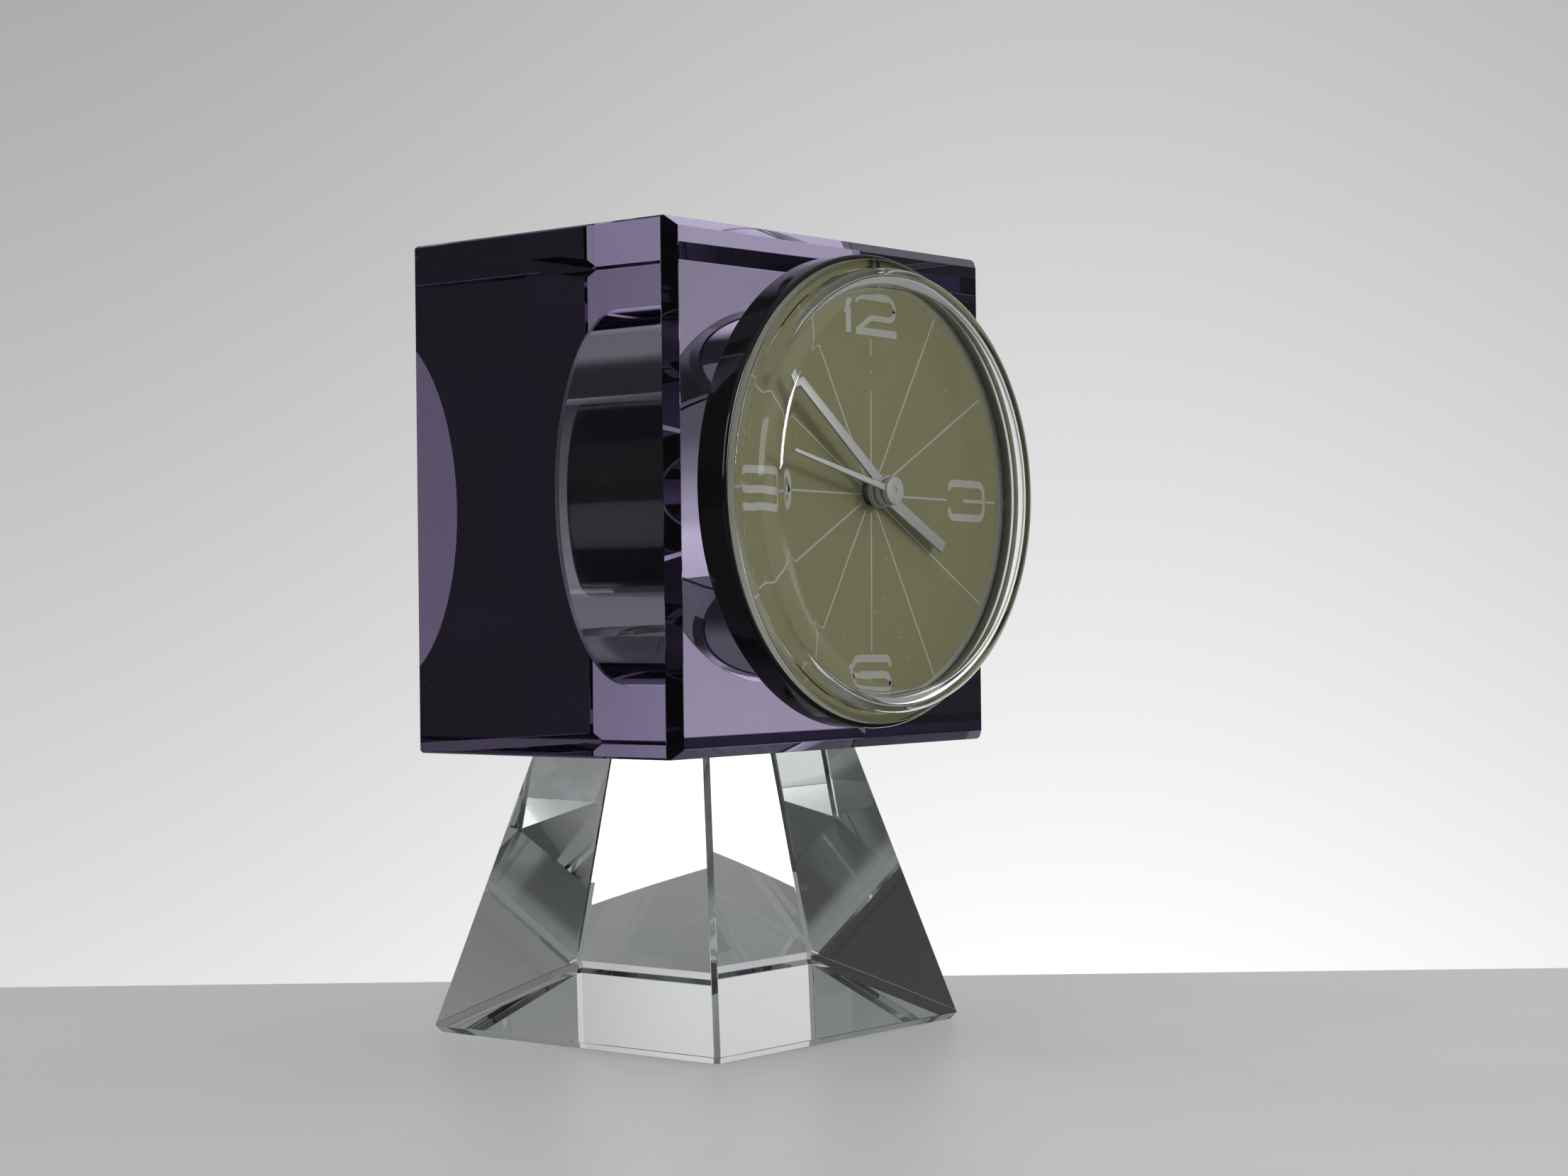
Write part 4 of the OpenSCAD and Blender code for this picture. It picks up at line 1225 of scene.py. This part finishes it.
@dataclass
class Surroundings:
    """What glass and gloss see round the clock, and the plain light on matt surfaces.

    Every strength depends on the direction of a ray: how far it rises, and how far it points
    ahead to the pale backdrop or to the right of it, from -1 to 1.

    Attributes:
        azimuth: Direction of the pale backdrop, in degrees from +Y towards +X.
        fade: Angles from it between which it fades out.
        low_fade: The same well below eye level.
        low: Rise over which one fade gives way to the other.
        behind: Shift of the fade of the room behind, which rays through glass see.
        slope: Rate at which the backdrop darkens upwards.
        level: Its strength at eye level.
        limits: Its lowest and highest strength.
        glow: Gain below the table's level.
        spot: How narrow its bright middle is, and the share of light in it.
        dark: Strength at the sides.
        upper: Strength high up, from upper_left to the right, over the rise in high.
        near: Rises that bound a band at eye level, with near_gain from left to right in it.
        far_gain: Gain outside this band.
        matt: Light on matt surfaces, by rise.
    """

    azimuth: float = 56.15
    fade: Point = (34.0, 56.0)
    low_fade: Point = (20.0, 36.0)
    low: Step = Step(-0.35, -0.15)
    behind: Point = (-0.1, -0.05)
    slope: float = -1.8
    level: float = 0.81
    limits: Point = (0.3, 1.08)
    glow: Step = Step(-0.16, -0.32, 1.0, 1.5)
    spot: Point = (30.0, 0.3)
    dark: float = 0.045
    upper: float = 0.28
    upper_left: Step = Step(-0.95, -0.7)
    high: Step = Step(0.32, 0.52)
    near: tuple[Step, Step] = (Step(-0.16, -0.08), Step(0.19, 0.14))
    near_gain: Step = Step(-0.24, -0.12, 0.6, 1.25)
    far_gain: float = 1.12
    matt: Step = Step(-0.3, 0.9, 0.66, 1.12)

    def build(self) -> None:
        """Paint the world."""
        world = bpy.data.worlds.new("studio")
        bpy.context.scene.world = world
        world.use_nodes = True
        bench = NodeBench(world.node_tree)
        ray = bench.add("TexCoord", {}).outputs["Generated"]
        rise = bench.parts(ray)["Z"]
        level = bench.vector("NORMALIZE", bench.vector("MULTIPLY", ray, (1, 1, 0)))
        a = math.radians(self.azimuth)
        ahead = bench.vector("DOT_PRODUCT", level, (math.sin(a), math.cos(a), 0))
        right = bench.vector("DOT_PRODUCT", level, (math.cos(a), -math.sin(a), 0))
        path = bench.add("LightPath", {}).outputs
        backdrop = self._backdrop(bench, rise, ahead)
        lobe = self._lobe(bench, ahead, rise, path["Is Transmission Ray"])
        seen = bench.between(lobe, self.dark, backdrop)
        near = bench.times(*(bench.ramp(rise, step) for step in self.near))
        gain = bench.between(near, self.far_gain, bench.ramp(right, self.near_gain))
        high = bench.between(bench.ramp(right, self.upper_left), self.dark, self.upper)
        seen = bench.between(bench.ramp(rise, self.high), bench.times(seen, gain), high)
        clear = bench.sum("MAXIMUM", path["Is Glossy Ray"], path["Is Transmission Ray"])
        light = bench.between(clear, bench.ramp(rise, self.matt), seen)
        light = bench.between(path["Is Camera Ray"], light, backdrop)
        bench.feed(world.node_tree.nodes["Background"], {"Strength": light, "Color": WHITE})

    def _backdrop(self, bench: NodeBench, rise: Socket, ahead: Socket) -> Socket:
        """Build the pale backdrop: brighter low down and towards its middle.

        Args:
            bench: Bench of the world's nodes.
            rise: How far a ray points upwards.
            ahead: How far it points towards the backdrop.

        Returns:
            The backdrop's strength.
        """
        lowest, highest = self.limits
        fall = bench.times(bench.sum("EXPONENT", bench.times(rise, self.slope)), self.level)
        fall = bench.sum("MINIMUM", bench.sum("MAXIMUM", fall, lowest), highest)
        fall = bench.times(fall, bench.ramp(rise, self.glow))
        narrow, share = self.spot
        middle = bench.sum("EXPONENT", bench.sum("MULTIPLY_ADD", ahead, narrow, -narrow))
        return bench.times(fall, bench.sum("MULTIPLY_ADD", middle, share, 1 - share))

    def _lobe(self, bench: NodeBench, ahead: Socket, rise: Socket, through: Socket) -> Socket:
        """Build the mask of what is bright.

        Args:
            bench: Bench of the world's nodes.
            ahead: How far a ray points towards the backdrop.
            rise: How far it points upwards.
            through: 1 for a ray through glass, which sees the room behind as well.

        Returns:
            A socket with 1 towards the backdrop and 0 at the sides.
        """
        wide, narrow = (math.cos(math.radians(v)) for v in self.fade)
        low_wide, low_narrow = (math.cos(math.radians(v)) for v in self.low_fade)
        low_front = bench.ramp(ahead, Step(low_narrow, low_wide))
        front = bench.ramp(ahead, Step(narrow, wide))
        front = bench.between(bench.ramp(rise, self.low), low_front, front)
        room = Step(self.behind[0] - narrow, self.behind[1] - wide)
        return bench.sum("MAXIMUM", front, bench.times(bench.ramp(ahead, room), through))


@dataclass(frozen=True)
class Lamp:
    """A square lamp that faces the dial. Its place and size are in metres."""

    name: str
    place: Triple
    size: float
    power: float

    def build(self) -> None:
        """Hang the lamp where neither the camera nor a ray through glass meets it."""
        deselect()
        bpy.ops.object.light_add(type="AREA", location=self.place)
        lamp = bpy.context.object
        lamp.name = self.name
        lamp.data.size = self.size
        lamp.data.energy = self.power
        lamp.visible_camera = lamp.visible_transmission = False
        aim = AXIS.at(0, 0, 0) - Vector(self.place)
        lamp.rotation_euler = aim.to_track_quat("-Z", "Y").to_euler()


@dataclass
class Studio:
    """Table, surroundings and lamps round the clock. Lengths are in metres.

    Attributes:
        azimuth: Direction of view, which the far edge of the table is square to.
        behind: Distance of that edge from the clock's middle.
        drop: Gap between the table and the foot.
        in_glass: Share of the table's colour that rays through glass see, a painted shade.
        in_gloss: Share that gloss reflects, a painted shade.
        under: Share that rays through glass see under the foot, a painted shadow of the clock.
        shade: Where this painted shadow starts to end, from the middle, and over what width.
        bounces: Bounces of light, as paths inside the foot are long.
    """

    azimuth: float = 50.5467
    behind: float = 0.068
    before: float = 1.2
    side: float = 0.9
    thickness: float = 0.02
    drop: float = 0.00008
    colour: Rgb = (0.478, 0.485, 0.488)
    in_glass: float = 0.62
    in_gloss: float = 0.12
    under: float = 0.2
    shade: Point = (0.027, 0.004)
    bounces: int = 20

    def build(self) -> None:
        """Set the table, the surroundings and the lamps."""
        self._table()
        Surroundings().build()
        Lamp("front_lamp", (0.5, -1.45, 0.4), 0.35, 9.0).build()
        Lamp("window", (-1.4, -0.3, 0.6), 0.7, 4.0).build()
        scene = bpy.context.scene
        scene.view_settings.view_transform = "Standard"
        for limit in ("max_bounces", "transmission_bounces", "glossy_bounces"):
            setattr(scene.cycles, limit, self.bounces)

    def _table(self) -> None:
        """Lay the table top, with its far edge square to the view."""
        deselect()
        bpy.ops.mesh.primitive_cube_add(size=1)
        table = bpy.context.object
        middle = (0, (self.behind - self.before) / 2, -self.thickness / 2 - self.drop)
        table.data.transform(
            Matrix.Rotation(-math.radians(self.azimuth), 4, "Z") @ Matrix.Translation(middle)
            @ Matrix.Diagonal((2 * self.side, self.behind + self.before, self.thickness, 1))
        )
        soften_edges(table, 1.0, 3)
        settle(table, "table_top", 30)
        finish = SolidFinish("table_laminate", self.colour, tuple(0.97 * c for c in self.colour),
                             0.45, 0.05, grain_scale=900.0, patch_scale=14.0)
        dress(table, self._paint_shade(finish.material()))

    def _paint_shade(self, material: Material) -> Material:
        """Paint the clock's shade into the table's colour where glass and gloss see it.

        Args:
            material: The table's material, which is rewired.

        Returns:
            The same material.
        """
        bench = NodeBench(material.node_tree)
        # Rays through glass see the table dimmer and dimmest under the foot, a painted shadow of
        # the clock; gloss sees it dimmer still, a painted shade.
        apart = bench.parts(bench.vector("ABSOLUTE", bench.object_place()))
        start, width = self.shade
        edge = Step(start, start + width, self.under, self.in_glass)
        in_glass = bench.ramp(bench.sum("MAXIMUM", apart["X"], apart["Y"]), edge)
        colour = material.node_tree.nodes["Principled BSDF"].inputs["Base Color"]
        path = bench.add("LightPath", {}).outputs
        share = bench.between(path["Is Glossy Ray"], 1.0, self.in_gloss)
        share = bench.between(path["Is Transmission Ray"], share, in_glass)
        dim = bench.vector("SCALE", colour.links[0].from_socket)
        bench.plug(share, dim.node.inputs["Scale"])
        bench.plug(dim, colour)
        return material


# Assembly


@dataclass
class Clock:
    """The whole clock: new pieces where they help, finishes on the CAD nodes elsewhere."""

    def build(self) -> None:
        """Build the glass, the insert's front and the finishes of the works."""
        self._glass()
        self._front()
        self._hands()
        self._works()

    def _glass(self) -> None:
        """Build foot, film and block."""
        foot, block, line = GlassFoot().build(), GlassBlock().build(), CementFilm().build()
        for piece, finish in ((foot, CLEAR_GLASS), (block, VIOLET_GLASS), (line, CEMENT)):
            dress(piece, finish.material())
        stand_for(foot, "glass_pedestal", "glass")
        stand_for(block, "glass_block", "glass")
        stand_for(line, "cement_film", "glass")

    def _front(self) -> None:
        """Build bezel, crystal and dial."""
        bezel, crystal = Bezel().build(), Crystal().build()
        disc, lines, figures = Dial().build()
        for piece, finish in ((bezel, BLACK_GLOSS), (crystal, ACRYLIC), (disc, OLIVE_PAINT)):
            dress(piece, finish.material())
        stand_for(bezel, "bezel_ring", "insert")
        stand_for(crystal, "crystal", "insert")
        stand_for(disc, "dial", "insert")
        ink = PRINT_INK.material()
        for print_piece in (lines, figures):
            dress(print_piece, ink)
            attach(print_piece, "insert")
            LOG.info("%s rides on the insert", print_piece.name)

    def _hands(self) -> None:
        """Build the three hands."""
        paint = HAND_PAINT.material()
        hands = {
            "hour": Hand("hour", 20.5, 2.3, 2.07, 7.9, 2.95, 0.9, 1.9, 0.25, 118),
            "minute": Hand("minute", 31.3, 1.9, 1.71, 9.3, 2.75, 0.9, 1.1, 0.25, 307.5),
            "seconds": Hand("second", 27.4, 1.2, 0.6, 10.65, 2.45, 1.05, 0.0, 0.1, 283),
        }
        for body, hand in hands.items():
            piece = hand.build()
            dress(piece, paint)
            stand_for(piece, f"{hand.kind}_hand", body)

    def _works(self) -> None:
        """Give every CAD node of the case and the works its finish."""
        finishes = {
            CAN_LACQUER: ("case_can",),
            BLACK_SATIN: ("rear_cover",),
            RUBBER: ("grip_ring",),
            STEEL: ("cover_screws", "plate_screws", "seconds_arbor", "quartz_can"),
            HAND_PIPE: ("hour_wheel", "cannon_pinion"),
            BRASS: ("minute_wheel", "centre_wheel", "third_wheel", "set_pinion"),
            WHITE_PLASTIC: ("intermediate_wheel", "bobbin"),
            MAGNET: ("rotor",),
            SOFT_IRON: ("stator",),
            WINDING: ("coil",),
            DARK_PLASTIC: ("front_plate", "back_plate", "set_knob", "drive_chip"),
            BOARD: ("circuit_board",),
            SLEEVE: ("battery_cell",),
            NICKEL: ("contact_plus", "contact_minus"),
        }
        for finish, nodes in finishes.items():
            material = finish.material()
            for node in nodes:
                dress(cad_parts[node], material)
                LOG.info("%s takes the finish %s", node, finish.name)


def main() -> None:
    """Build the clock, its studio and the camera."""
    logging.basicConfig(level=logging.INFO, format="%(name)s: %(message)s")
    Clock().build()
    Studio().build()
    PhotoCamera().build()


if __name__ == "__main__":
    main()
